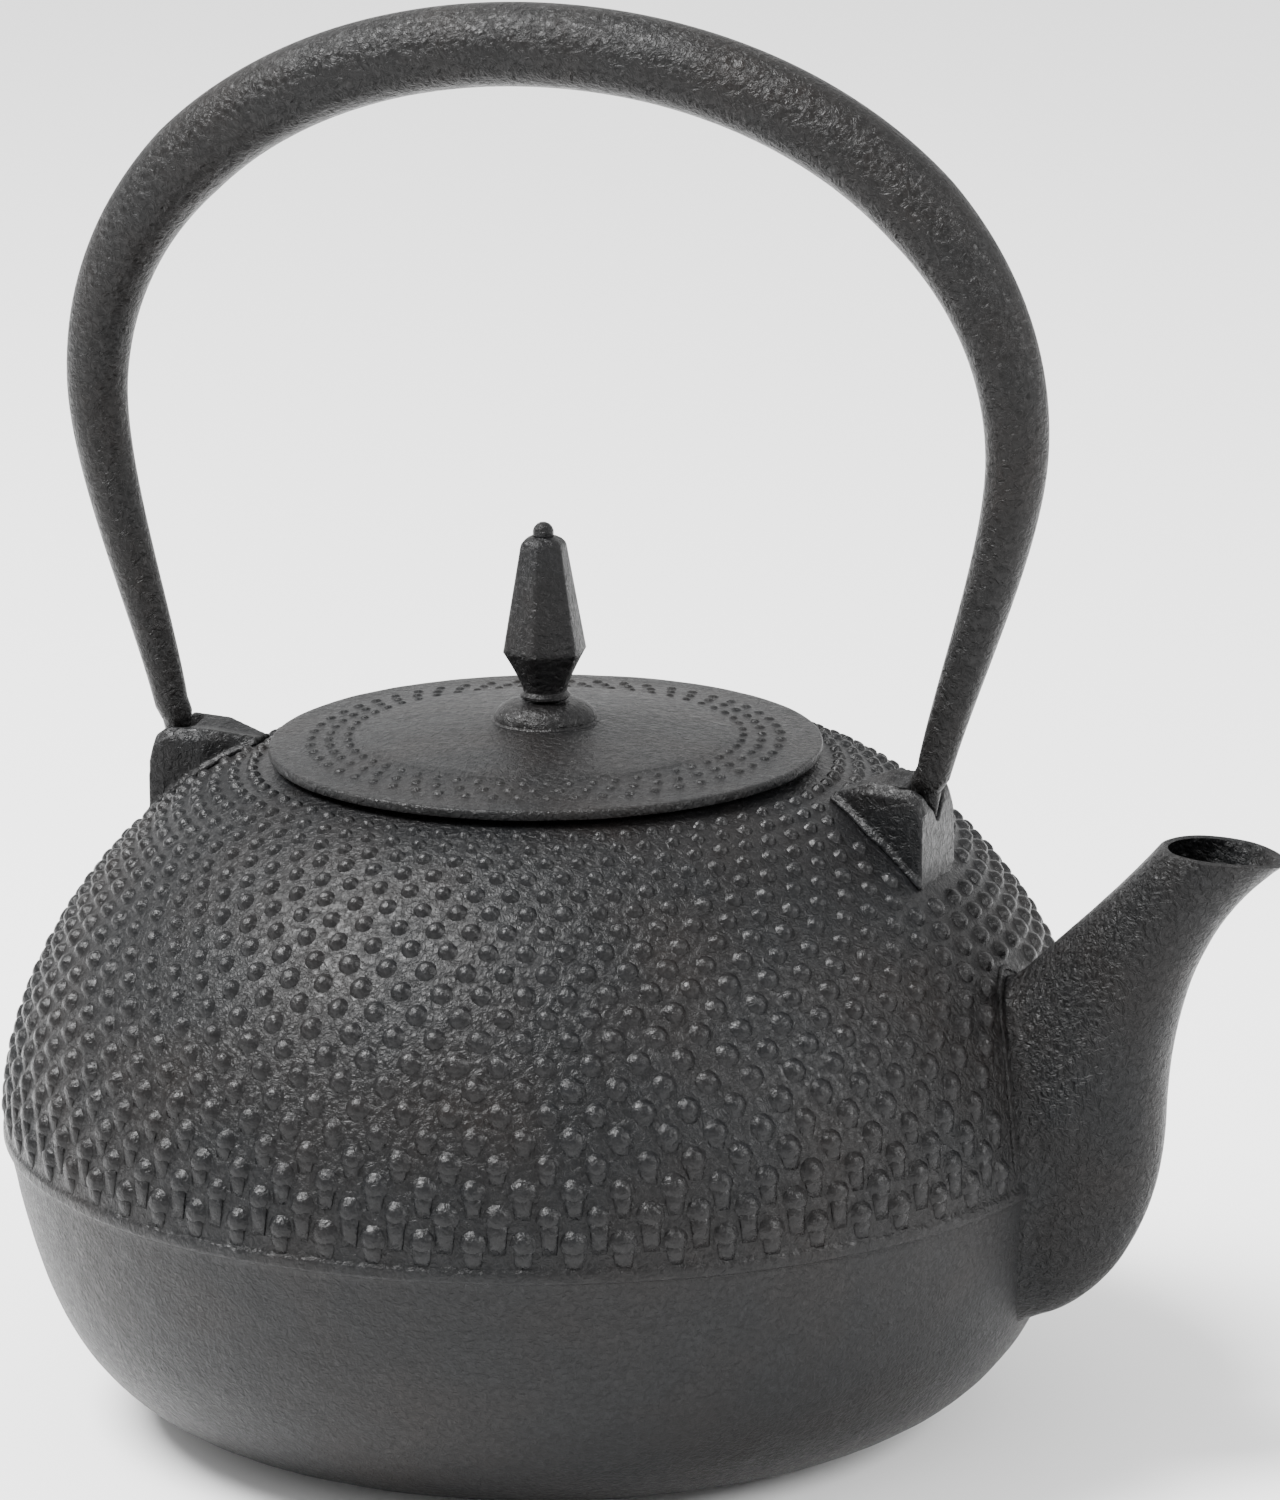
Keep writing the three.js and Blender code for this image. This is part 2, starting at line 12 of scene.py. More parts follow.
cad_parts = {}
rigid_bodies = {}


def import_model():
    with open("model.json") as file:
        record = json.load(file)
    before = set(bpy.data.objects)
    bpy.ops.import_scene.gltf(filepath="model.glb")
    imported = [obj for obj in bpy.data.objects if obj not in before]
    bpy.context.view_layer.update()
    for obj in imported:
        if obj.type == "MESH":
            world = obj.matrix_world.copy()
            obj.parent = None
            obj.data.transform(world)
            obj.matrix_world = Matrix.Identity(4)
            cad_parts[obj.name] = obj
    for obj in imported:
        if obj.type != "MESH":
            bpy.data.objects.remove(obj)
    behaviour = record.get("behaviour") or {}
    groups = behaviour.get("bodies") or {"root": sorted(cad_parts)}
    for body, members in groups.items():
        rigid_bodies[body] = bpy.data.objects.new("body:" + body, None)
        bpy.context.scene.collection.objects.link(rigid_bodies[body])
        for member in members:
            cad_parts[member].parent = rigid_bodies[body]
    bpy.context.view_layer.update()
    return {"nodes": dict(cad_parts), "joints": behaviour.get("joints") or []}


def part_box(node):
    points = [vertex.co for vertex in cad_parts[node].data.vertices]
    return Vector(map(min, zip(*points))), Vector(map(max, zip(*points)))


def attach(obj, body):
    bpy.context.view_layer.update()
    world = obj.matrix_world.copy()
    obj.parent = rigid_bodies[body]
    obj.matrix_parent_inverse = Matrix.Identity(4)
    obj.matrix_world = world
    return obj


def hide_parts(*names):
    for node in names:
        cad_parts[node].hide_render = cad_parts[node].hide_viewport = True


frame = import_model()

bl_info = {
    "name": "Cast Iron Teapot",
    "version": (1, 0, 0),
    "blender": (4, 5, 0),
    "location": "3D View > Sidebar > Teapot",
    "description": "Builds a studded cast iron teapot with a bail handle",
    "category": "Add Mesh",
}

LID_LOW, LID_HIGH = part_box("lid")
KNOB_LOW, KNOB_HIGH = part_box("knob")
SEAT_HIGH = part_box("knob_seat")[1]
HANDLE_PIVOT = next(j for j in frame["joints"] if j["name"] == "handle_rock")["pos_m"][2]

POT_SIDES = 288
LID_SIDES = 224
SEAT_SIDES = 96
SPOUT_SIDES = 72
BAR_SIDES = 36
PORT_SIDES = 32
BORE_SIDES = 24
PIVOT_STUD_SIDES = 20
SPOUT_SLICES = 240  # rings drawn before the spout is cut off at the pot's skin
SPOUT_STATIONS = 64  # rings kept after it
FLOOR_HALF = 6  # metres
FAR_AWAY = 9  # metres, out of reach of every nub


# ---- settings ----------------------------------------------------------------------------


def length(name, description, default):
    """A size in metres."""
    return FloatProperty(
        name=name, description=description, default=default, unit="LENGTH", precision=5
    )


def share(name, description, default):
    """A plain proportion."""
    return FloatProperty(name=name, description=description, default=default, min=0, max=1)


def colour(name, description, default):
    """A linear colour."""
    return FloatVectorProperty(
        name=name, description=description, default=default, subtype="COLOR", size=3, min=0, max=1
    )


class TeapotPot(bpy.types.PropertyGroup):
    """Sizes of the pot casting."""

    radius: length("Waist radius", "Widest radius of the pot", 0.088)
    height: length("Shoulder height", "Base to the shoulder round the mouth", 0.1072)
    waist: length("Waist height", "Lower edge of the studded dome", 0.0483)
    base_radius: length("Base radius", "Flat that the pot stands on", 0.0434)
    wall: length("Wall", "Thickness of the iron", 0.0036)
    band: length("Band height", "Plain band under the dome", 0.002)
    band_step: length("Band step", "How far the bowl is set in below the band", 0.0006)
    skin_inset: length("Skin inset", "Skin between the studs, inside their mean height", 0.00045)
    shoulder_radius: length("Shoulder radius", "Where the dome meets the collar", 0.044)
    collar_radius: length("Collar radius", "Outer edge of the lid's seat", 0.041)
    collar_rise: length("Collar rise", "Height of the lid's seat", 0.0006)
    mouth_radius: length("Mouth radius", "Opening under the lid", 0.036)


class TeapotStuds(bpy.types.PropertyGroup):
    """Sizes of the studs on the dome and of the nubs on the lid."""

    per_ring: IntProperty(name="Studs per ring", description="Studs in each ring", default=70, min=3)
    rings: IntProperty(name="Rings", description="Rings of studs on the dome", default=20, min=1)
    first: length("First ring", "Waist to the lowest ring, along the skin", 0.0044)
    step: length("Ring step", "Between the lowest two rings", 0.00402)
    step_top: length("Top ring step", "Between the highest two rings", 0.0033)
    width: share("Stud width", "Share of the pitch round the ring", 0.46)
    height: length("Stud height", "Above the skin", 0.00104)
    unevenness: share("Unevenness", "How much the studs differ from each other", 0.07)
    clearance: length("Clearance", "Plain skin left beside the spout and lugs", 0.0022)
    seed: IntProperty(name="Seed", description="Fixes the unevenness", default=7)
    lid_per_ring: IntProperty(name="Nubs per ring", description="On the lid", default=54, min=3)
    lid_height: length("Nub height", "Above the lid", 0.00034)
    lid_width: share("Nub width", "Share of the pitch round the ring", 0.36)


class TeapotSpout(bpy.types.PropertyGroup):
    """Sizes of the spout."""

    reach: length("Reach", "Waist radius to the tip", 0.0364)
    mouth_length: length("Mouth length", "Back lip to tip", 0.0202)
    mouth_width: length("Mouth width", "Across the mouth", 0.016)
    lip_drop: length("Lip drop", "Back lip below the shoulder", 0.0046)
    tip_drop: length("Tip drop", "Tip below the shoulder", 0.0059)
    root_above: length("Root above waist", "Top of the root", 0.0277)
    root_below: length("Root below waist", "Bottom of the root", 0.026)
    root_width: length("Root width", "Across the root", 0.032)
    belly: length("Belly", "Waist radius to the fullest point", 0.0166)
    wall: length("Wall", "Thickness at the root", 0.0028)
    lip: length("Lip", "Thickness at the mouth", 0.0013)
    fillet: length("Fillet", "Flare where the spout meets the pot", 0.0011)


class TeapotLugs(bpy.types.PropertyGroup):
    """Sizes of the handle lugs."""

    face: length("Outer face", "Pot axis to the lug's outer face", 0.0669)
    span: length("Length", "Inner end to outer face", 0.017)
    width: length("Width", "Across the outer face", 0.015)
    rise: length("Rise", "Top above the dome on the spout side", 0.01)
    rear_drop: length("Rear drop", "How much lower the rear lug is", 0.0016)
    valley: length("Trough", "Depth of the trough along the top", 0.0016)
    grain: length("Edge softness", "Size of the cast rounding on edges", 0.0003)


class TeapotHandle(bpy.types.PropertyGroup):
    """Sizes of the bail handle."""

    rise: length("Rise", "Pivot to the crown's centre line", 0.1181)
    bulge: length("Bulge", "Foot to the widest point", 0.014)
    bulge_rise: length("Bulge rise", "Pivot to the widest point", 0.0586)
    thickness: length("Thickness", "Bar at the crown", 0.0133)
    foot_thickness: length("Foot thickness", "Bar at the lugs", 0.005)
    crown_shift: length("Crown shift", "Lean of the crown towards the spout", 0.0022)
    toe_inset: length("Toe inset", "Foot's centre line inside the lug's face", 0.0019)
    stud_radius: length("Stud radius", "Pivot stud", 0.0015)
    stud_length: length("Stud length", "Pivot stud, in from the foot", 0.0059)


class TeapotLid(bpy.types.PropertyGroup):
    """Sizes of the lid and knob."""

    edge: length("Rim thickness", "At the lid's edge", 0.0016)
    flange_depth: length("Flange depth", "Locating ring under the lid", 0.008)
    knob_radius: length("Knob radius", "Hexagon corner at the widest level", 0.007)
    knob_top_radius: length("Knob top radius", "Hexagon corner at the top", 0.0037)
    knob_neck_radius: length("Knob neck radius", "Round neck", 0.0036)
    bead_radius: length("Bead radius", "Bead on the knob", 0.0017)
    knob_turn: FloatProperty(
        name="Knob turn",
        description="First hexagon corner from +X",
        default=math.radians(37.5),
        subtype="ANGLE",
    )


class TeapotIron(bpy.types.PropertyGroup):
    """The iron's finish."""

    pot_colour: colour("Pot", "Iron of the pot", (0.0042, 0.0044, 0.0048))
    # The studs' iron is lighter than the pot's as painted highlight: it stands in for the glints on the
    # studs' tops.
    stud_glint_colour: colour("Studs", "Worn iron of the studs", (0.0056, 0.0058, 0.0063))
    lid_colour: colour("Lid", "Iron of the lid", (0.0032, 0.0034, 0.0037))
    handle_colour: colour("Handle", "Iron of the handle", (0.0044, 0.0042, 0.0042))
    knob_colour: colour("Knob", "Iron of the knob", (0.0042, 0.0042, 0.0045))
    rust_colour: colour("Undertone", "Warm undertone in the iron", (0.0075, 0.0054, 0.0044))
    roughness: share("Roughness", "Mean roughness", 0.34)


class TeapotStage(bpy.types.PropertyGroup):
    """Camera, floor and light."""

    lens: FloatProperty(
        name="Lens", description="Focal length on a 36 mm sensor", default=225.25, unit="CAMERA"
    )
    distance: length("Distance", "Camera to its target", 1.5)
    turn: FloatProperty(
        name="Turn", description="Towards +X", default=math.radians(22.5), subtype="ANGLE"
    )
    elevation: FloatProperty(
        name="Elevation",
        description="Above the horizon",
        default=math.radians(14.41),
        subtype="ANGLE",
    )
    roll: FloatProperty(
        name="Roll", description="About the view", default=math.radians(-0.54), subtype="ANGLE"
    )
    aside: length("Target aside", "Target to the right of the axis", 0.01504)
    target_height: length("Target height", "Target above the floor", 0.10802)
    floor_colour: colour("Floor", "Pale floor", (0.9, 0.9, 0.9))


class TeapotSettings(bpy.types.PropertyGroup):
    """All settings."""

    pot: PointerProperty(type=TeapotPot)
    studs: PointerProperty(type=TeapotStuds)
    spout: PointerProperty(type=TeapotSpout)
    lugs: PointerProperty(type=TeapotLugs)
    handle: PointerProperty(type=TeapotHandle)
    lid: PointerProperty(type=TeapotLid)
    iron: PointerProperty(type=TeapotIron)
    stage: PointerProperty(type=TeapotStage)


def settings():
    """The teapot's settings in this scene."""
    return bpy.context.scene.teapot


# ---- curves ------------------------------------------------------------------------------


def mix(a, b, t):
    """a at 0, b at 1."""
    return a + (b - a) * t


def bezier(points, steps):
    """Points along a cubic curve."""
    a, b, c, d = (np.array(p, float) for p in points)
    t = np.linspace(0, 1, steps + 1)[:, None]
    return (1 - t) ** 3 * a + 3 * (1 - t) ** 2 * t * b + 3 * (1 - t) * t * t * c + t**3 * d


def arc(line):
    """Distance along a line, from its first point."""
    return np.concatenate([[0], np.cumsum(np.linalg.norm(np.diff(line, axis=0), axis=1))])


def at_share(line, t):
    """Points at shares of a line's length."""
    run = arc(line)
    return np.stack([np.interp(np.asarray(t) * run[-1], run, line[:, k]) for k in range(line.shape[1])], -1)


def normals_of(line):
    """Unit normals of an (r, z) line, to the right of its direction."""
    along = np.gradient(line, axis=0)
    along /= np.linalg.norm(along, axis=1)[:, None]
    return np.stack([along[:, 1], -along[:, 0]], -1)


def dome_line(steps=90):
    """The dome at the studs' mean height, waist to shoulder, as (r, z)."""
    p = settings().pot
    return bezier(
        [
            (p.radius, p.waist),
            (p.radius - 0.0004, mix(p.waist, p.height, 0.49)),
            (mix(p.shoulder_radius, p.radius, 0.42), p.height - 0.0028),
            (p.shoulder_radius, p.height),
        ],
        steps,
    )


def dome_skin(steps=90):
    """The skin between the studs."""
    line = dome_line(steps)
    return line - normals_of(line) * settings().pot.skin_inset


def bowl_line(steps=60):
    """Flat base to the band, as (r, z)."""
    p = settings().pot
    top = p.radius - p.band_step
    height = p.waist - p.band
    return bezier(
        [
            (p.base_radius, 0),
            (mix(p.base_radius, top, 0.8), 0),
            (top - 0.005, height * 0.51),
            (top, height),
        ],
        steps,
    )


def dome_height(radius):
    """Height of the dome at a radius."""
    line = dome_line()[::-1]
    return float(np.interp(radius, line[:, 0], line[:, 1]))


def outer_line():
    """The pot's whole outside, from the base's flat to the mouth, as (r, z)."""
    p = settings().pot
    skin = dome_skin()
    skin = skin[skin[:, 1] > p.waist + 0.0012]
    skin = skin[skin[:, 0] > p.collar_radius + 0.0036]
    edge = p.radius + 0.0001
    band = [
        (edge - 0.00042, p.waist - p.band + 0.00015),
        (edge - 0.00012, p.waist - p.band + 0.00035),
        (edge, p.waist - p.band + 0.0007),
        (edge, p.waist - 0.0002),
        (edge - 0.00012, p.waist + 0.0001),
        (edge - 0.0004, p.waist + 0.00045),
        (edge - 0.00052, p.waist + 0.0008),
    ]
    top = p.height + p.collar_rise
    collar = [
        (p.collar_radius + 0.0022, p.height - 0.0001),
        (p.collar_radius + 0.0011, p.height + 0.00005),
        (p.collar_radius + 0.0005, p.height + 0.0002),
        (p.collar_radius + 0.0002, top - 0.0001),
        (p.collar_radius - 0.0002, top),
        (p.mouth_radius + 0.0008, top),
        (p.mouth_radius + 0.0002, top - 0.0002),
        (p.mouth_radius, top - 0.0008),
    ]
    return np.concatenate([bowl_line(), band, skin, collar])


def pot_profile():
    """The pot's closed section from the axis under the base to the axis inside."""
    p = settings().pot
    outside = outer_line()
    base = [(0, 0), (0.02, 0), (p.base_radius - 0.004, 0)]
    wall = np.concatenate([bowl_line(30), dome_line(50)])
    inside = (wall - normals_of(wall) * p.wall)[::-1]
    inside = inside[(inside[:, 0] > p.base_radius * 0.9) & (inside[:, 0] < p.radius)]
    inside = inside[(inside[:, 0] > p.mouth_radius + 0.006) | (inside[:, 1] < p.waist)]
    lip = [
        (p.mouth_radius, p.height - p.wall),
        (p.mouth_radius + 0.0008, p.height - p.wall - 0.0007),
    ]
    floor = [(p.base_radius * 0.85, p.wall), (0.02, p.wall), (0, p.wall)]
    return np.concatenate([base, outside, lip, inside, floor])


# ---- meshes ------------------------------------------------------------------------------


def new_object(name, vertices, faces, sharp=None):
    """A smooth-shaded mesh object from points in metres."""
    mesh = bpy.data.meshes.new(name)
    mesh.from_pydata([tuple(v) for v in vertices], [], faces)
    work = bmesh.new()
    work.from_mesh(mesh)
    bmesh.ops.remove_doubles(work, verts=work.verts, dist=1e-7)
    bmesh.ops.recalc_face_normals(work, faces=work.faces)
    work.to_mesh(mesh)
    work.free()
    mesh.shade_smooth()
    if sharp:
        mesh.set_sharp_from_angle(angle=math.radians(sharp))
    thing = bpy.data.objects.new(name, mesh)
    bpy.context.scene.collection.objects.link(thing)
    return thing


def turned(profile, sides):
    """Vertices and faces of an (r, z) profile turned round the Z axis."""
    vertices = []
    rows = []
    for r, z in profile:
        if r < 1e-9:
            rows.append([len(vertices)] * sides)
            vertices.append((0, 0, z))
            continue
        rows.append(list(range(len(vertices), len(vertices) + sides)))
        for k in range(sides):
            angle = 2 * math.pi * k / sides
            vertices.append((r * math.cos(angle), r * math.sin(angle), z))
    faces = []
    for lower, upper in zip(rows, rows[1:]):
        for k in range(sides):
            n = (k + 1) % sides
            ring = [lower[k], lower[n], upper[n], upper[k]]
            faces.append(list(dict.fromkeys(ring)))
    return vertices, [f for f in faces if len(f) > 2]


def closed(skin, rings, sides):
    """A skin whose last ring is joined back to its first."""
    vertices, faces = skin
    last = (rings - 1) * sides
    for k in range(sides):
        n = (k + 1) % sides
        faces.append([last + k, last + n, n, k])
    return vertices, faces


def closed_turned(profile, sides):
    """A turned section that closes on itself away from the axis."""
    return closed(turned(profile, sides), len(profile), sides)


def lofted(rings, capped=True):
    """Vertices and faces of a skin through rings of equal count."""
    count = len(rings[0])
    vertices = [tuple(p) for ring in rings for p in ring]
    faces = []
    for r in range(len(rings) - 1):
        for k in range(count):
            a = r * count + k
            b = r * count + (k + 1) % count
            faces.append([a, b, b + count, a + count])
    if capped:
        faces.append(list(range(count))[::-1])
        last = (len(rings) - 1) * count
        faces.append([last + k for k in range(count)])
    return vertices, faces


def pin(ends, height, radius, sides):
    """A round pin along X between two ends, over y = 0."""
    angle = 2 * math.pi * np.arange(sides) / sides
    rings = [
        np.stack([np.full(sides, x), radius * np.cos(angle), height + radius * np.sin(angle)], -1)
        for x in ends
    ]
    return lofted(rings)


def tube(path, radii, sides=10):
    """Rings of a round bead along a path, for lofted()."""
    path = np.asarray(path, float)
    along = np.gradient(path, axis=0)
    rings = []
    side = None
    for centre, direction, radius in zip(path, along, radii):
        direction = Vector(direction).normalized()
        if side is None:
            side = direction.orthogonal().normalized()
        side = (side - direction * side.dot(direction)).normalized()
        other = direction.cross(side)
        ring = []
        for k in range(sides):
            angle = 2 * math.pi * k / sides
            ring.append(Vector(centre) + (side * math.cos(angle) + other * math.sin(angle)) * radius)
        rings.append(ring)
    return rings


def joined(parts):
    """Several (vertices, faces) sets as one."""
    vertices, faces = [], []
    for v, f in parts:
        base = len(vertices)
        vertices.extend(v)
        faces.extend([[i + base for i in face] for face in f])
    return vertices, faces


def roughen(thing, size, depth, seed=0.0):
    """Moves the skin in and out a little, as sand casting does."""
    mesh = thing.data
    count = len(mesh.vertices)
    places = np.zeros(count * 3, np.float32)
    normals = np.zeros(count * 3, np.float32)
    mesh.vertices.foreach_get("co", places)
    mesh.vertex_normals.foreach_get("vector", normals)
    places = places.reshape(-1, 3)
    push = np.zeros(count)
    for i, where in enumerate(places / size + seed):
        spot = Vector(where)
        push[i] = noise.noise(spot) + 0.5 * noise.noise(spot * 2.1)
    places += normals.reshape(-1, 3) * (push * depth)[:, None]
    mesh.vertices.foreach_set("co", places.ravel())
    mesh.update()


def apply_modifiers(thing):
    """Replaces a thing's mesh by what its modifiers make."""
    bpy.context.view_layer.update()
    depsgraph = bpy.context.evaluated_depsgraph_get()
    mesh = bpy.data.meshes.new_from_object(thing.evaluated_get(depsgraph))
    mesh.name = thing.name
    thing.modifiers.clear()
    thing.data = mesh
    return thing


def combine(thing, tool, operation="DIFFERENCE"):
    """Takes the tool's shape out of the thing, or adds it with UNION."""
    step = thing.modifiers.new("Combine", "BOOLEAN")
    step.operation = operation
    step.solver = "MANIFOLD"
    step.object = tool
    apply_modifiers(thing)
    remove(tool)


def remove(thing):
    """Deletes a helper object and its mesh."""
    mesh = thing.data
    bpy.data.objects.remove(thing)
    bpy.data.meshes.remove(mesh)


def finish_piece(thing, body, finish, nodes=()):
    """Gives a piece its iron and puts it on its body."""
    thing.data.materials.clear()
    thing.data.materials.append(finish)
    if nodes:
        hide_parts(*nodes)
    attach(thing, body)


# ---- iron --------------------------------------------------------------------------------


def iron(name, tone, grain=0.0012, grain_depth=0.00045, lumps=0.0045, lumps_depth=0.00022, dull=0.0):
    """Sand-cast iron: a pebbled skin on slow lumps, with a warm undertone and a broken sheen."""
    found = bpy.data.materials.get(name)
    if found:
        return found
    look = settings().iron
    material = bpy.data.materials.new(name)
    material.use_nodes = True
    nodes = material.node_tree.nodes
    links = material.node_tree.links
    shader = nodes["Principled BSDF"]
    shader.inputs["Metallic"].default_value = 0.0
    shader.inputs["Specular IOR Level"].default_value = 0.19
    where = nodes.new("ShaderNodeTexCoord").outputs["Object"]

    def pattern(size, detail, distortion=0.0, roughness=0.55):
        node = nodes.new("ShaderNodeTexNoise")
        node.inputs["Scale"].default_value = 1 / size
        node.inputs["Detail"].default_value = detail
        node.inputs["Distortion"].default_value = distortion
        node.inputs["Roughness"].default_value = roughness
        links.new(where, node.inputs["Vector"])
        return node.outputs["Fac"]

    def ranged(value, low, high, to_low, to_high):
        node = nodes.new("ShaderNodeMapRange")
        node.inputs["From Min"].default_value = low
        node.inputs["From Max"].default_value = high
        node.inputs["To Min"].default_value = to_low
        node.inputs["To Max"].default_value = to_high
        links.new(value, node.inputs["Value"])
        return node.outputs["Result"]

    pebbles = pattern(grain, 4.0, 0.9, 0.6)
    slow = pattern(lumps, 2.0)
    cloud = pattern(0.022, 3.0)

    tint = nodes.new("ShaderNodeMix")
    tint.data_type = "RGBA"
    tint.inputs["A"].default_value = (*tone, 1)
    tint.inputs["B"].default_value = (*look.rust_colour, 1)
    links.new(ranged(cloud, 0.42, 0.72, 0.0, 0.5), tint.inputs["Factor"])
    depth = nodes.new("ShaderNodeMix")
    depth.data_type = "RGBA"
    depth.blend_type = "MULTIPLY"
    depth.inputs["Factor"].default_value = 1
    shade = nodes.new("ShaderNodeCombineColor")
    level = ranged(pebbles, 0.35, 0.68, 0.55, 1.5)
    for channel in ("Red", "Green", "Blue"):
        links.new(level, shade.inputs[channel])
    links.new(tint.outputs["Result"], depth.inputs["A"])
    links.new(shade.outputs["Color"], depth.inputs["B"])
    links.new(depth.outputs["Result"], shader.inputs["Base Color"])

    rough = look.roughness + dull
    links.new(ranged(pebbles, 0.3, 0.7, rough + 0.1, rough - 0.08), shader.inputs["Roughness"])

    coarse = nodes.new("ShaderNodeBump")
    coarse.inputs["Distance"].default_value = lumps_depth
    links.new(slow, coarse.inputs["Height"])
    fine = nodes.new("ShaderNodeBump")
    fine.inputs["Distance"].default_value = grain_depth
    links.new(pebbles, fine.inputs["Height"])
    links.new(coarse.outputs["Normal"], fine.inputs["Normal"])
    links.new(fine.outputs["Normal"], shader.inputs["Normal"])
    return material


def dome_iron():
    """Iron of the studded dome, collar and lugs."""
    return iron("dome_cast", settings().iron.pot_colour)


def smooth_iron():
    """Iron of the spout, finer than the dome's."""
    tone = settings().iron.pot_colour
    return iron("smooth_cast", tone, grain=0.0012, grain_depth=0.00085, lumps=0.004, lumps_depth=0.0003)


# ---- spout shape -------------------------------------------------------------------------


def spout_edges():
    """The spout's upper and lower edges in the XZ plane, root to mouth, as (x, z)."""
    p, s = settings().pot, settings().spout
    tip_x = p.radius + s.reach
    belly = (p.radius + s.belly, p.waist + 0.008)
    tip = (tip_x, p.height - s.tip_drop)
    back_lip = (tip_x - s.mouth_length, p.height - s.lip_drop)
    top = (p.radius - 0.0105, p.waist + s.root_above)
    bottom = (p.radius - 0.01, p.waist - s.root_below)
    upper = bezier(
        [
            top,
            (mix(top[0], back_lip[0], 0.33), mix(top[1], back_lip[1], 0.34)),
            (mix(top[0], back_lip[0], 0.67), mix(top[1], back_lip[1], 0.62)),
            back_lip,
        ],
        200,
    )
    first = bezier(
        [
            bottom,
            (p.radius + 0.005, bottom[1]),
            (belly[0] - 0.0004, mix(bottom[1], belly[1], 0.5)),
            belly,
        ],
        200,
    )
    second = bezier(
        [
            belly,
            (belly[0] + 0.0006, mix(belly[1], tip[1], 0.45)),
            (mix(belly[0], tip_x, 0.33), mix(belly[1], tip[1], 0.78)),
            tip,
        ],
        200,
    )
    return upper, np.concatenate([first, second[1:]])


def spout_rings(shares, inset, sides):
    """Rings of the spout at shares of its length, each drawn in by the wall where inset is 1."""
    s = settings().spout
    upper_edge, lower_edge = spout_edges()
    upper = at_share(upper_edge, shares)
    lower = at_share(lower_edge, shares)
    angle = 2 * math.pi * np.arange(sides) / sides
    rings = []
    for t, a, b in zip(shares, upper, lower):
        wall = mix(s.wall, s.lip, t) * inset
        inward = (b - a) / np.linalg.norm(b - a) * wall
        a, b = a + inward, b - inward
        half_width = mix(s.mouth_width, s.root_width, (1 - t) ** 2.2) / 2 - wall
        power = 2 / mix(1.4, 2, min(1, 1.6 * t))
        along = np.sign(np.cos(angle)) * np.abs(np.cos(angle)) ** power
        across = np.sign(np.sin(angle)) * np.abs(np.sin(angle)) ** power
        across = across * half_width * (1 - 0.13 * t * along)
        x = (a[0] + b[0]) / 2 + (b[0] - a[0]) / 2 * along
        z = (a[1] + b[1]) / 2 + (b[1] - a[1]) / 2 * along
        z = z - 0.0005 * t**6 * np.clip(along, 0, 1) ** 3
        rings.append(np.stack([x, across, z], -1))
    return np.array(rings)


def above_skin(points):
    """Distance of points outside the pot's skin, negative inside, and the skin's normal there."""
    line = outer_line()
    line = line[line[:, 0] > 0.05]
    normal = normals_of(line)
    flat = points.reshape(-1, 3)
    rz = np.stack([np.hypot(flat[:, 0], flat[:, 1]), flat[:, 2]], -1)
    nearest = np.argmin(((rz[:, None, :] - line[None]) ** 2).sum(-1), axis=1)
    found = normal[nearest]
    distance = ((rz - line[nearest]) * found).sum(-1)
    turn = flat[:, :2] / np.maximum(rz[:, :1], 1e-9)
    out = np.concatenate([turn * found[:, :1], found[:, 1:]], -1)
    return distance.reshape(points.shape[:-1]), out.reshape(points.shape)


def rooted(rings, depth, stations):
    """Cuts each lengthwise line of the rings where it passes into the pot's skin."""
    distance, _ = above_skin(rings)
    out = np.zeros((stations, rings.shape[1], 3))
    spread = np.linspace(0, 1, stations) ** 1.5
    for k in range(rings.shape[1]):
        inside = np.nonzero(distance[:, k] < -depth)[0]
        first = inside[-1] if len(inside) else 0
        line = rings[first:, k]
        if len(inside):
            d0, d1 = distance[first, k], distance[first + 1, k]
            line = line.copy()
            line[0] = mix(line[0], line[1], (-depth - d0) / (d1 - d0))
        out[:, k] = at_share(line, spread)
    return out


def root_outline(sides, offset):
    """Where the spout's outside meets the skin, moved away from the spout by an offset."""
    rings = spout_rings(np.linspace(0, 1, SPOUT_SLICES), 0, sides)
    distance, _ = above_skin(rings)
    outline = []
    for k in range(sides):
        inside = np.nonzero(distance[:, k] < 0)[0]
        outline.append(rings[inside[-1] if len(inside) else 0, k])
    outline = np.array(outline)
    away = outline - outline.mean(0)
    _, normal = above_skin(outline)
    away -= (away * normal).sum(-1)[:, None] * normal
    away /= np.linalg.norm(away, axis=1)[:, None]
    moved = outline + away * offset
    distance, normal = above_skin(moved)
    return moved - normal * distance[:, None]


# ---- operators ---------------------------------------------------------------------------


class TEAPOT_OT_pot(bpy.types.Operator):
    """Bowl, band, dome and collar, with the port behind the spout"""

    bl_idname = "teapot.pot"
    bl_label = "Pot"

    def execute(self, context):
        p, s = settings().pot, settings().spout
        pot = new_object("pot_casting", *turned(pot_profile(), POT_SIDES), sharp=50)
        roughen(pot, size=0.006, depth=0.00009, seed=3.0)
        angle = 2 * math.pi * np.arange(PORT_SIDES) / PORT_SIDES
        half = (s.root_above + s.root_below) * 0.745 / 2
        rings = []
        for x in (p.radius - 0.022, p.radius + 0.004):
            y = s.root_width * 0.28 * np.sin(angle)
            z = p.waist + 0.003 + half * np.cos(angle)
            rings.append(np.stack([np.full(PORT_SIDES, x), y, z], -1))
        combine(pot, new_object("port", *lofted(rings)))
        finish_piece(pot, "pot", dome_iron(), ["pot_bowl", "pot_dome"])
        tone = settings().iron.pot_colour
        bowl_iron = iron(
            "bowl_cast", tone, grain=0.0009, grain_depth=0.0004, lumps=0.004, lumps_depth=0.0002, dull=0.06
        )
        pot.data.materials.append(bowl_iron)
        for face in pot.data.polygons:
            if face.center.z < p.waist - p.band:
                face.material_index = 1
        return {"FINISHED"}


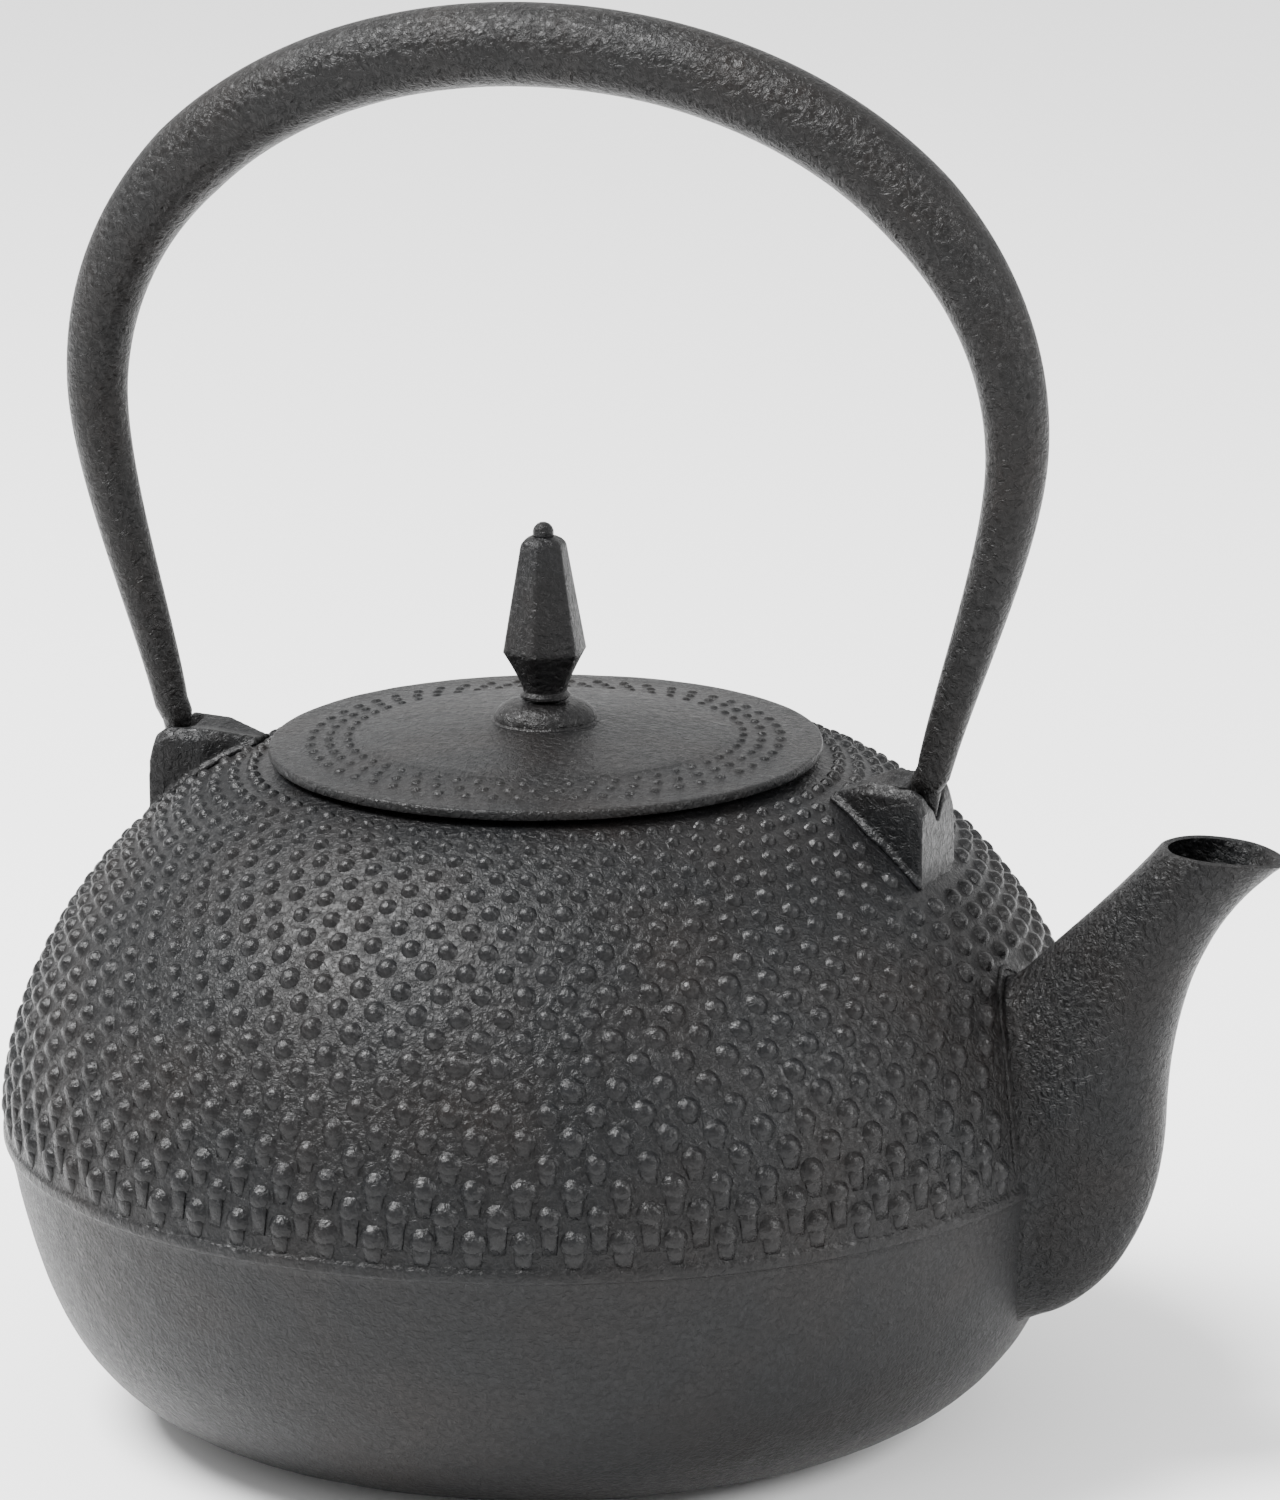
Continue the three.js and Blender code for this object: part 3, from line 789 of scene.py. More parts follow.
class TEAPOT_OT_spout(bpy.types.Operator):
    """Spout with its channel, thin lip and flared root"""

    bl_idname = "teapot.spout"
    bl_label = "Spout"

    def execute(self, context):
        s = settings().spout
        sides, stations = SPOUT_SIDES, SPOUT_STATIONS
        shares = np.linspace(0, 1, SPOUT_SLICES)
        sunk = 0.0012
        outside = rooted(spout_rings(shares, 0, sides), sunk, stations)
        distance, normal = above_skin(outside)
        centre = outside.mean(1)[:, None, :]
        away = outside - centre
        away -= (away * normal).sum(-1)[..., None] * normal
        away /= np.maximum(np.linalg.norm(away, axis=-1), 1e-6)[..., None]
        near = np.clip(1 - np.maximum(distance, 0) / 0.0035, 0, 1) ** 2
        outside = outside + away * (near * s.fillet)[..., None]
        inside = rooted(spout_rings(shares, 1, sides), sunk, stations)
        lip = (outside[-1] + inside[-1]) / 2
        lip[:, 2] += 0.0003
        rings = list(outside) + [lip] + list(inside[::-1])
        shell = closed(lofted(rings, capped=False), len(rings), sides)
        outline = root_outline(sides, 0.0026)
        keep = outline[(outline[:, 2] > settings().pot.waist + 0.0006)]
        order = np.argsort(np.arctan2(keep[:, 1], keep[:, 2] - settings().pot.waist))
        steps = 70
        path = at_share(keep[order], np.linspace(0, 1, steps))
        radii = 0.00042 * np.minimum(1, np.sin(np.linspace(0.02, math.pi - 0.02, steps)) * 6)
        bead = lofted(tube(path, radii))
        spout = new_object("spout_casting", *joined([shell, bead]), sharp=60)
        roughen(spout, size=0.006, depth=0.00006, seed=8.0)
        finish_piece(spout, "pot", smooth_iron(), ["spout"])
        return {"FINISHED"}


def lug_shape(name, drop, side):
    """A lug with its notch, bore and base bead, on the +X side where side is 1."""
    lugs, handle = settings().lugs, settings().handle
    half = lugs.width / 2
    inner = lugs.face - lugs.span
    top = dome_height(lugs.face - 0.006) + lugs.rise - drop
    valley = lugs.valley - drop / 2

    def ring(x, width, height, trough):
        foot = dome_height(x) - 0.0018
        return [
            (x, -width, foot),
            (x, width, foot),
            (x, width * 0.95, height - 0.0018),
            (x, width * 0.74, height),
            (x, 0, height - trough),
            (x, -width * 0.74, height),
            (x, -width * 0.95, height - 0.0018),
        ]

    rings = [
        ring(inner, half * 0.28, dome_height(inner) + 0.0006, 0.0002),
        ring(inner + lugs.span * 0.45, half * 0.8, top, valley),
        ring(lugs.face - 0.0026, half * 0.98, top, valley),
        ring(lugs.face - 0.0007, half, top - 0.0014, valley),
        ring(lugs.face, half, top - 0.004, 0.0002),
    ]
    vertices, faces = lofted(rings)
    lug = new_object(name, vertices, faces)
    play = 0.0003
    below_pivot = 0.0014
    floor_half = 0.0004
    floor = HANDLE_PIVOT - below_pivot
    depth = lugs.rise + below_pivot
    foot = lugs.face - handle.toe_inset
    leg = handle.foot_thickness * 0.54
    wide = floor_half + depth * math.tan(math.radians(40))
    corners = [(-floor_half, floor), (floor_half, floor), (wide, floor + depth), (-wide, floor + depth)]
    notch = [[(x, y, z) for y, z in corners] for x in (foot - leg - play, lugs.face + 0.003)]
    combine(lug, new_object("notch", *lofted(notch)))
    ends = (foot - handle.stud_length - play, lugs.face - 0.0012)
    bore = pin(ends, HANDLE_PIVOT, handle.stud_radius + play, BORE_SIDES)
    combine(lug, new_object("bore", *bore))
    beads = []
    for way in (-1, 1):
        path = []
        for t in np.linspace(0, 1, 24):
            x = inner + lugs.span * t
            y = way * (np.interp(t, [0, 0.45, 1], [0.28, 0.8, 1]) * half + 0.0002)
            path.append((x, y, dome_height(math.hypot(x, y)) - 0.0001))
        beads.append(lofted(tube(path, np.full(24, 0.0006), 8)))
    combine(lug, new_object("beads", *joined(beads)), "UNION")
    if side < 0:
        work = bmesh.new()
        work.from_mesh(lug.data)
        work.transform(Matrix.Scale(-1, 4, (1, 0, 0)))
        bmesh.ops.recalc_face_normals(work, faces=work.faces)
        work.to_mesh(lug.data)
        work.free()
    remesh = lug.modifiers.new("Cast skin", "REMESH")
    remesh.mode = "VOXEL"
    remesh.voxel_size = lugs.grain
    soften = lug.modifiers.new("Soften", "SMOOTH")
    soften.factor = 0.5
    soften.iterations = 3
    apply_modifiers(lug)
    lug.data.shade_smooth()
    return lug


class TEAPOT_OT_lugs(bpy.types.Operator):
    """The two lugs that carry the handle"""

    bl_idname = "teapot.lugs"
    bl_label = "Handle lugs"

    def execute(self, context):
        drop = settings().lugs.rear_drop
        front = lug_shape("spout_side_lug_casting", 0.0, 1)
        rear = lug_shape("rear_lug_casting", drop, -1)
        finish_piece(front, "pot", dome_iron(), ["spout_side_lug"])
        finish_piece(rear, "pot", dome_iron(), ["rear_lug"])
        return {"FINISHED"}


def stud_head():
    """One stud of unit width and height on z = 0: a low rounded cone with a soft foot."""
    sides = 10
    profile = [(0, -0.4), (0.74, -0.4), (0.58, 0.03), (0.45, 0.5), (0.32, 0.86), (0.15, 1), (0, 1)]
    return new_object("stud_head", *turned(profile, sides))


def stud_tail():
    """One unit rib that runs down from a stud, where the pattern was drawn straight up."""
    rings = []
    for y, height, width in ((0.0, 0.9, 0.52), (-0.5, 0.5, 0.46), (-1.0, -0.2, 0.38)):
        rings.append(
            [
                (-width, y, -0.4),
                (-width * 0.8, y, mix(-0.2, height, 0.55)),
                (-width * 0.35, y, height),
                (width * 0.35, y, height),
                (width * 0.8, y, mix(-0.2, height, 0.55)),
                (width, y, -0.4),
            ]
        )
    return new_object("stud_tail", *lofted(rings))


def studs_tree():
    """Geometry Nodes: rings of studs from one point a ring."""
    tree = bpy.data.node_groups.get("Rings of studs")
    if tree:
        return tree
    tree = bpy.data.node_groups.new("Rings of studs", "GeometryNodeTree")
    face = tree.interface
    for name, kind in (
        ("Rings", "NodeSocketGeometry"),
        ("Studs per ring", "NodeSocketInt"),
        ("Stud width", "NodeSocketFloat"),
        ("Stud height", "NodeSocketFloat"),
        ("Unevenness", "NodeSocketFloat"),
        ("Clearance", "NodeSocketFloat"),
        ("Seed", "NodeSocketInt"),
        ("Head", "NodeSocketObject"),
        ("Tail", "NodeSocketObject"),
        ("Keep clear of", "NodeSocketObject"),
        ("Iron", "NodeSocketMaterial"),
    ):
        face.new_socket(name, in_out="INPUT", socket_type=kind)
    face.new_socket("Studs", in_out="OUTPUT", socket_type="NodeSocketGeometry")
    nodes, links = tree.nodes, tree.links
    source = nodes.new("NodeGroupInput").outputs
    result = nodes.new("NodeGroupOutput")

    def put(target, value):
        if isinstance(value, bpy.types.NodeSocket):
            links.new(value, target)
        else:
            target.default_value = value

    def maths(operation, a, b=0.0):
        node = nodes.new("ShaderNodeMath")
        node.operation = operation
        put(node.inputs[0], a)
        put(node.inputs[1], b)
        return node.outputs[0]

    def attribute(name, kind="FLOAT"):
        node = nodes.new("GeometryNodeInputNamedAttribute")
        node.data_type = kind
        node.inputs["Name"].default_value = name
        return node.outputs["Attribute"]

    def spun(vector, angle):
        node = nodes.new("ShaderNodeVectorRotate")
        node.rotation_type = "Z_AXIS"
        put(node.inputs["Vector"], vector)
        put(node.inputs["Angle"], angle)
        return node.outputs[0]

    def random(low, high, offset):
        node = nodes.new("FunctionNodeRandomValue")
        node.data_type = "FLOAT"
        put(node.inputs[2], low)
        put(node.inputs[3], high)
        put(node.inputs["Seed"], maths("ADD", source["Seed"], offset))
        return node.outputs[1]

    copies = nodes.new("GeometryNodeDuplicateElements")
    copies.domain = "POINT"
    put(copies.inputs["Geometry"], source["Rings"])
    put(copies.inputs["Amount"], source["Studs per ring"])
    pitch_angle = maths("DIVIDE", 2 * math.pi, source["Studs per ring"])
    down = maths("MULTIPLY", source["Unevenness"], -1.0)
    wander = maths("MULTIPLY", random(down, source["Unevenness"], 1), 0.5)
    place = maths("ADD", maths("ADD", copies.outputs["Duplicate Index"], attribute("stagger")), wander)
    angle = maths("MULTIPLY", place, pitch_angle)
    move = nodes.new("GeometryNodeSetPosition")
    here = nodes.new("GeometryNodeInputPosition").outputs[0]
    store = nodes.new("GeometryNodeStoreNamedAttribute")
    store.data_type = "FLOAT"
    store.domain = "POINT"
    put(store.inputs["Geometry"], copies.outputs["Geometry"])
    store.inputs["Name"].default_value = "angle"
    put(store.inputs["Value"], angle)
    turn = attribute("angle")
    put(move.inputs["Geometry"], store.outputs["Geometry"])
    put(move.inputs["Position"], spun(here, turn))

    info = nodes.new("GeometryNodeObjectInfo")
    put(info.inputs["Object"], source["Keep clear of"])
    near = nodes.new("GeometryNodeProximity")
    near.target_element = "FACES"
    put(near.inputs[0], info.outputs["Geometry"])
    close = nodes.new("FunctionNodeCompare")
    close.data_type = "FLOAT"
    close.operation = "LESS_THAN"
    put(close.inputs["A"], near.outputs["Distance"])
    put(close.inputs["B"], source["Clearance"])
    thin = nodes.new("GeometryNodeDeleteGeometry")
    thin.domain = "POINT"
    put(thin.inputs["Geometry"], move.outputs["Geometry"])
    put(thin.inputs["Selection"], close.outputs["Result"])

    axes = nodes.new("FunctionNodeAxesToRotation")
    axes.primary_axis = "Z"
    axes.secondary_axis = "X"
    put(axes.inputs[0], spun(attribute("out", "FLOAT_VECTOR"), turn))
    put(axes.inputs[1], spun(attribute("round", "FLOAT_VECTOR"), turn))
    pitch = maths("MULTIPLY", attribute("radius"), pitch_angle)
    width = maths("MULTIPLY", pitch, source["Stud width"])
    width = maths("MULTIPLY", width, maths("ADD", random(down, source["Unevenness"], 2), 1.0))
    height = maths("MULTIPLY", source["Stud height"], attribute("height"))
    height = maths("MULTIPLY", height, maths("ADD", random(down, source["Unevenness"], 3), 1.0))

    def stamped(template, scale_y, selection=None):
        scale = nodes.new("ShaderNodeCombineXYZ")
        put(scale.inputs[0], width)
        put(scale.inputs[1], scale_y)
        put(scale.inputs[2], height)
        shape = nodes.new("GeometryNodeObjectInfo")
        put(shape.inputs["Object"], template)
        stamp = nodes.new("GeometryNodeInstanceOnPoints")
        put(stamp.inputs["Points"], thin.outputs["Geometry"])
        put(stamp.inputs["Instance"], shape.outputs["Geometry"])
        put(stamp.inputs["Rotation"], axes.outputs[0])
        put(stamp.inputs["Scale"], scale.outputs[0])
        if selection is not None:
            put(stamp.inputs["Selection"], selection)
        return stamp.outputs["Instances"]

    tail = attribute("tail")
    has_tail = maths("GREATER_THAN", tail, 0.0)
    both = nodes.new("GeometryNodeJoinGeometry")
    links.new(stamped(source["Head"], width), both.inputs[0])
    links.new(stamped(source["Tail"], tail, has_tail), both.inputs[0])
    real = nodes.new("GeometryNodeRealizeInstances")
    put(real.inputs["Geometry"], both.outputs[0])
    coat = nodes.new("GeometryNodeSetMaterial")
    put(coat.inputs["Geometry"], real.outputs["Geometry"])
    put(coat.inputs["Material"], source["Iron"])
    links.new(coat.outputs["Geometry"], result.inputs["Studs"])
    return tree


def stud_rings(name, rows):
    """One point a ring, with what the studs need to know there."""
    mesh = bpy.data.meshes.new(name)
    mesh.from_pydata([(row["r"], 0, row["z"]) for row in rows], [], [])
    for key, kind, field in (
        ("radius", "FLOAT", "value"),
        ("stagger", "FLOAT", "value"),
        ("tail", "FLOAT", "value"),
        ("height", "FLOAT", "value"),
        ("out", "FLOAT_VECTOR", "vector"),
        ("round", "FLOAT_VECTOR", "vector"),
    ):
        layer = mesh.attributes.new(key, kind, "POINT")
        layer.data.foreach_set(field, np.array([row[key] for row in rows], np.float32).ravel())
    thing = bpy.data.objects.new(name, mesh)
    bpy.context.scene.collection.objects.link(thing)
    return thing


def stud_row(r, z, stagger, out, tail=0.0, height=1.0):
    """What the studs of one ring need to know."""
    out = (out[0], 0, out[1])
    row = {"r": r, "z": z, "radius": r, "stagger": stagger}
    return {**row, "tail": tail, "height": height, "out": out, "round": (0, 1, 0)}


def make_studs(name, rows, values, keep_clear):
    """Runs the tree on the rings and keeps the result as a plain mesh."""
    rings = stud_rings(name, rows)
    head, tail = stud_head(), stud_tail()
    tree = studs_tree()
    step = rings.modifiers.new("Studs", "NODES")
    step.node_group = tree
    known = {
        item.name: item.identifier
        for item in tree.interface.items_tree
        if item.item_type == "SOCKET" and item.in_out == "INPUT"
    }
    k = settings().studs
    shared = {"Unevenness": k.unevenness, "Clearance": k.clearance}
    values = {**shared, **values, "Head": head, "Tail": tail, "Keep clear of": keep_clear}
    for key, value in values.items():
        step[known[key]] = value
    apply_modifiers(rings)
    remove(head)
    remove(tail)
    for extra in [a.name for a in rings.data.attributes if a.name in ("angle", "tail", "stagger")]:
        rings.data.attributes.remove(rings.data.attributes[extra])
    return rings


class TEAPOT_OT_dome_studs(bpy.types.Operator):
    """Rings of studs on the dome, drawn out downwards where the flank is steep"""

    bl_idname = "teapot.dome_studs"
    bl_label = "Dome studs"

    def execute(self, context):
        k = settings().studs
        skin = dome_skin(400)
        run = arc(skin)
        normal = normals_of(skin)
        first_turn = 0.42  # pitches from +X to the first stud
        longest_tail, shortest_tail = 0.0056, 0.0024
        places = [k.first]
        for i in range(1, k.rings):
            places.append(places[-1] + mix(k.step, k.step_top, (i / (k.rings - 1)) ** 1.4))
        rows = []
        for i, place in enumerate(places):
            r, z = (np.interp(place, run, skin[:, axis]) for axis in (0, 1))
            out = np.array([np.interp(place, run, normal[:, axis]) for axis in (0, 1)])
            out /= np.linalg.norm(out)
            tail = min(k.height / max(out[1], 0.02), longest_tail, place + 0.0002)
            tail = tail if tail > shortest_tail else 0.0
            height = mix(1.0, 0.8, (i / (k.rings - 1)) ** 2)
            rows.append(stud_row(r, z, 0.5 * (i % 2) + first_turn, out, tail, height))
        parts = [bpy.data.objects[n] for n in ("spout_casting", "spout_side_lug_casting", "rear_lug_casting")]
        vertices, faces = joined(
            [([v.co[:] for v in o.data.vertices], [list(f.vertices) for f in o.data.polygons]) for o in parts]
        )
        guard = new_object("guard", vertices, faces)
        values = {
            "Studs per ring": k.per_ring,
            "Stud width": k.width,
            "Stud height": k.height,
            "Seed": k.seed,
            "Iron": dome_iron(),
        }
        studs = make_studs("dome_studs", rows, values, guard)
        roughen(studs, size=0.0011, depth=0.00005, seed=5.0)
        remove(guard)
        # A lighter copy of the iron for the studs, as painted highlight for the glints on their tops, with
        # lower roughness.
        tone = settings().iron.stud_glint_colour
        painted_glint_iron = iron(
            "stud_cast", tone, grain=0.001, grain_depth=0.00025, lumps=0.0045, lumps_depth=0.0001, dull=-0.05
        )
        finish_piece(studs, "pot", painted_glint_iron)
        return {"FINISHED"}


class TEAPOT_OT_lid(bpy.types.Operator):
    """Lid with its thin rim, ring line and locating flange"""

    bl_idname = "teapot.lid"
    bl_label = "Lid"

    def execute(self, context):
        lid = settings().lid
        radius = LID_HIGH.x
        under = LID_LOW.z + lid.flange_depth
        rim = under + lid.edge
        top = LID_HIGH.z
        outer = settings().pot.mouth_radius - 0.0007
        inner = outer - 0.003
        hole = 0.0023
        line = radius * 0.672
        surface = [(radius, rim - 0.0004), (radius - 0.00012, rim - 0.00012), (radius - 0.0004, rim)]
        for part in np.linspace(0.97, 0.9, 5):
            surface.append((radius * part, rim + 0.0002 * (1 - part) * 10))
        for r in np.linspace(radius * 0.88, line + 0.0009, 16):
            t = (radius * 0.9 - r) / (radius * 0.9 - line)
            surface.append((r, mix(rim + 0.0002, mix(rim, top, 0.36), t)))
        ledge = mix(rim, top, 0.36)
        surface += [(line + 0.0005, ledge + 0.00002), (line + 0.0002, ledge + 0.0001)]
        surface += [(line - 0.0001, ledge + 0.00022), (line - 0.0006, ledge + 0.00024)]
        for r in np.linspace(line - 0.0014, 0.011, 22):
            t = (line - r) / (line - 0.0093)
            surface.append((r, mix(ledge + 0.00022, top, t ** 0.9)))
        surface += [(0.0093, top), (hole, top)]
        profile = [
            (hole, top - 0.003),
            (inner - 0.002, under - 0.0006),
            (inner - 0.0006, under - 0.0012),
            (inner, under - 0.002),
            (inner, LID_LOW.z + 0.0003),
            (inner + 0.0003, LID_LOW.z),
            (outer - 0.0006, LID_LOW.z),
            (outer - 0.0001, LID_LOW.z + 0.0006),
            (outer, LID_LOW.z + 0.0014),
            (outer, under),
            (radius - 0.0004, under),
            (radius - 0.0001, under + 0.0001),
            (radius, under + 0.0004),
            *surface,
        ]
        plate = new_object("lid_plate", *closed_turned(profile, LID_SIDES), sharp=50)
        roughen(plate, size=0.005, depth=0.00005, seed=12.0)
        tone = settings().iron.lid_colour
        finish = iron("lid_cast", tone, grain=0.0011, grain_depth=0.0005, lumps=0.004, lumps_depth=0.0003)
        finish_piece(plate, "lid", finish, ["lid"])
        k = settings().studs
        rows = []
        for i, r in enumerate((0.0316, 0.0346, 0.0376)):
            t = (radius * 0.9 - r) / (radius * 0.9 - line)
            rows.append(stud_row(r, mix(rim + 0.0002, ledge, t), 0.5 * (i % 2), (0.1, 0.995)))
        corner = np.full(3, FAR_AWAY)
        away = new_object("guard", [corner, corner + (0.01, 0, 0), corner + (0, 0.01, 0)], [[0, 1, 2]])
        values = {
            "Studs per ring": k.lid_per_ring,
            "Stud width": k.lid_width,
            "Stud height": k.lid_height,
            "Seed": k.seed + 20,
            "Iron": finish,
        }
        nubs = make_studs("lid_nubs", rows, values, away)
        remove(away)
        finish_piece(nubs, "lid", finish)
        return {"FINISHED"}


def hexagon(z, corner, bevel, turn):
    """A ring of 24 points: a hexagon whose corners are rounded over a share of each side."""
    ring = []
    for k in range(6):
        here = turn + k * math.pi / 3
        point = np.array([math.cos(here), math.sin(here)]) * corner
        before = np.array([math.cos(here - math.pi / 3), math.sin(here - math.pi / 3)]) * corner
        after = np.array([math.cos(here + math.pi / 3), math.sin(here + math.pi / 3)]) * corner
        start = mix(point, before, bevel)
        end = mix(point, after, bevel)
        for t in (0, 1 / 3, 2 / 3, 1):
            spot = (1 - t) ** 2 * start + 2 * t * (1 - t) * point + t * t * end
            ring.append((spot[0], spot[1], z))
    return ring


def circle_ring(z, radius, turn):
    """A round ring whose points line up with the hexagon's."""
    ring = []
    for k in range(6):
        for step in (-0.6, -0.2, 0.2, 0.6):
            angle = turn + (k + step * 0.5) * math.pi / 3
            ring.append((radius * math.cos(angle), radius * math.sin(angle), z))
    return ring


class TEAPOT_OT_knob(bpy.types.Operator):
    """Hexagonal knob with its bead, neck, tenon and rivet, on a domed seat"""

    bl_idname = "teapot.knob"
    bl_label = "Knob"

    def execute(self, context):
        lid = settings().lid
        turn = lid.knob_turn
        tenon, hole = 0.002, 0.0023
        foot = SEAT_HIGH.z + 0.0003
        neck = foot + 0.0012
        bead_centre = KNOB_HIGH.z - lid.bead_radius
        shoulder = bead_centre - 0.0006
        widest = neck + 0.0067
        neck_r = lid.knob_neck_radius
        wide = lid.knob_radius
        top_r = lid.knob_top_radius
        rings = [
            circle_ring(height, radius, turn)
            for height, radius in (
                (KNOB_LOW.z, 0.0016),
                (KNOB_LOW.z + 0.0004, 0.0026),
                (KNOB_LOW.z + 0.001, 0.0032),
                (KNOB_LOW.z + 0.0016, 0.0032),
                (KNOB_LOW.z + 0.00162, tenon),
                (foot, tenon),
                (foot + 0.00002, neck_r + 0.0001),
                (foot + 0.0003, neck_r + 0.0004),
                (foot + 0.0007, neck_r + 0.0004),
                (foot + 0.001, neck_r + 0.0001),
                (foot + 0.0013, neck_r - 0.0001),
            )
        ]
        for t in (0.1, 0.22, 0.4, 0.6, 0.8, 0.93):
            corner = mix(neck_r + 0.0003, wide, t ** 1.18)
            rings.append(hexagon(mix(neck + 0.0002, widest, t), corner, mix(0.4, 0.1, t), turn))
        rings.append(hexagon(widest, wide, 0.09, turn))
        for t in (0.04, 0.2, 0.4, 0.6, 0.8, 1.0):
            corner = mix(wide, top_r + 0.0002, t)
            rings.append(hexagon(mix(widest, shoulder - 0.0016, t), corner, 0.1, turn))
        rings += [
            hexagon(shoulder - 0.0011, top_r + 0.00005, 0.14, turn),
            hexagon(shoulder - 0.0005, top_r - 0.0005, 0.2, turn),
            hexagon(shoulder - 0.0001, top_r - 0.0013, 0.3, turn),
            circle_ring(shoulder, top_r - 0.002, turn),
        ]
        for angle in np.radians([-28, -8, 12, 32, 52, 72]):
            rings.append(
                circle_ring(
                    bead_centre + lid.bead_radius * math.sin(angle),
                    lid.bead_radius * math.cos(angle),
                    turn,
                )
            )
        vertices, faces = lofted(rings, capped=True)
        knob = new_object("knob_spindle", vertices, faces, sharp=38)
        tone = settings().iron.knob_colour
        knob_iron = iron("knob_cast", tone, grain=0.001, grain_depth=0.0004, lumps=0.003, lumps_depth=0.0003)
        finish_piece(knob, "lid", knob_iron, ["knob"])
        radius = SEAT_HIGH.x
        low, high = LID_HIGH.z + 0.00003, SEAT_HIGH.z
        section = [(hole, low), (radius + 0.0004, low), (radius + 0.0002, low + 0.0002)]
        for t in np.linspace(0.06, 1, 14):
            angle = t * math.pi / 2
            section.append(
                (mix(neck_r + 0.0006, radius, math.cos(angle)), low + (high - low - 0.0001) * math.sin(angle))
            )
        section += [(neck_r + 0.0001, high), (hole, high)]
        seat = new_object("knob_seat_washer", *closed_turned(section, SEAT_SIDES), sharp=50)
        finish_piece(seat, "lid", knob_iron, ["knob_seat"])
        washer = frame["nodes"]["rivet_washer"]
        washer.data.materials.clear()
        washer.data.materials.append(knob_iron)
        return {"FINISHED"}


class TEAPOT_OT_handle(bpy.types.Operator):
    """Bail handle: a tapering round bar with wedge toes and pivot studs"""

    bl_idname = "teapot.handle"
    bl_label = "Handle"

    def execute(self, context):
        h = settings().handle
        foot = np.array([settings().lugs.face - h.toe_inset, HANDLE_PIVOT])
        bulge = foot + (h.bulge, h.bulge_rise)
        crown = np.array([0, HANDLE_PIVOT + h.rise])
        upper = bezier(
            [crown, (0.57 * bulge[0], crown[1]), (bulge[0], mix(bulge[1], crown[1], 0.57)), bulge], 200
        )
        lower = bezier(
            [
                bulge,
                (bulge[0], mix(bulge[1], foot[1], 0.29)),
                (mix(foot[0], bulge[0], 0.1), mix(bulge[1], foot[1], 0.76)),
                foot,
            ],
            200,
        )
        half = np.concatenate([upper, lower[1:]])
        count = 90
        shares = np.linspace(0, 0.963, count)
        centres = at_share(half, shares)
        taper = np.clip((shares - 0.4) / 0.6, 0, 1)
        radii = mix(h.thickness, h.foot_thickness, taper) / 2
        leg = radii[-1]
        toe_top, toe_drop = 0.005, 0.0009
        rows = []
        for k in range(count - 1, 0, -1):
            rows.append((-centres[k, 0], centres[k, 1], radii[k], radii[k]))
        for k in range(count):
            rows.append((centres[k, 0], centres[k, 1], radii[k], radii[k]))
        toe = []
        for height in (0.0042, 0.0034, 0.0026, 0.0018, 0.001, 0.0003, -0.0004, -toe_drop):
            t = (height + toe_drop) / (toe_top + toe_drop)
            toe.append((foot[0], HANDLE_PIVOT + height, mix(0.0016, leg, t), mix(0.0005, leg, t)))
        rows = [(-x, z, a, b) for x, z, a, b in toe[::-1]] + rows + toe
        path = np.array([(x + h.crown_shift * (z - HANDLE_PIVOT) / h.rise, z) for x, z, _, _ in rows])
        edge = len(toe)
        path[:edge, 0] = -foot[0]
        path[-edge:, 0] = foot[0]
        along = np.gradient(path, axis=0)
        along /= np.linalg.norm(along, axis=1)[:, None]
        along[: edge - 1] = (0, 1)
        along[-edge + 1 :] = (0, -1)
        angle = 2 * math.pi * np.arange(BAR_SIDES) / BAR_SIDES
        rings = []
        for (x, z), (dx, dz), (_, _, a, b) in zip(path, along, rows):
            side = np.cos(angle) * a
            rings.append(np.stack([x - dz * side, -np.sin(angle) * b, z + dx * side], -1))
        bar = lofted(rings)
        ends = np.array([foot[0] - h.stud_length, foot[0] + 0.0004])
        studs = [pin(way * ends, HANDLE_PIVOT, h.stud_radius, PIVOT_STUD_SIDES) for way in (-1, 1)]
        handle = new_object("bail_handle", *joined([bar, *studs]), sharp=55)
        tone = settings().iron.handle_colour
        handle_iron = iron(
            "handle_cast", tone, grain=0.0013, grain_depth=0.0006, lumps=0.006, lumps_depth=0.0003
        )
        finish_piece(handle, "handle", handle_iron, ["handle"])
        return {"FINISHED"}


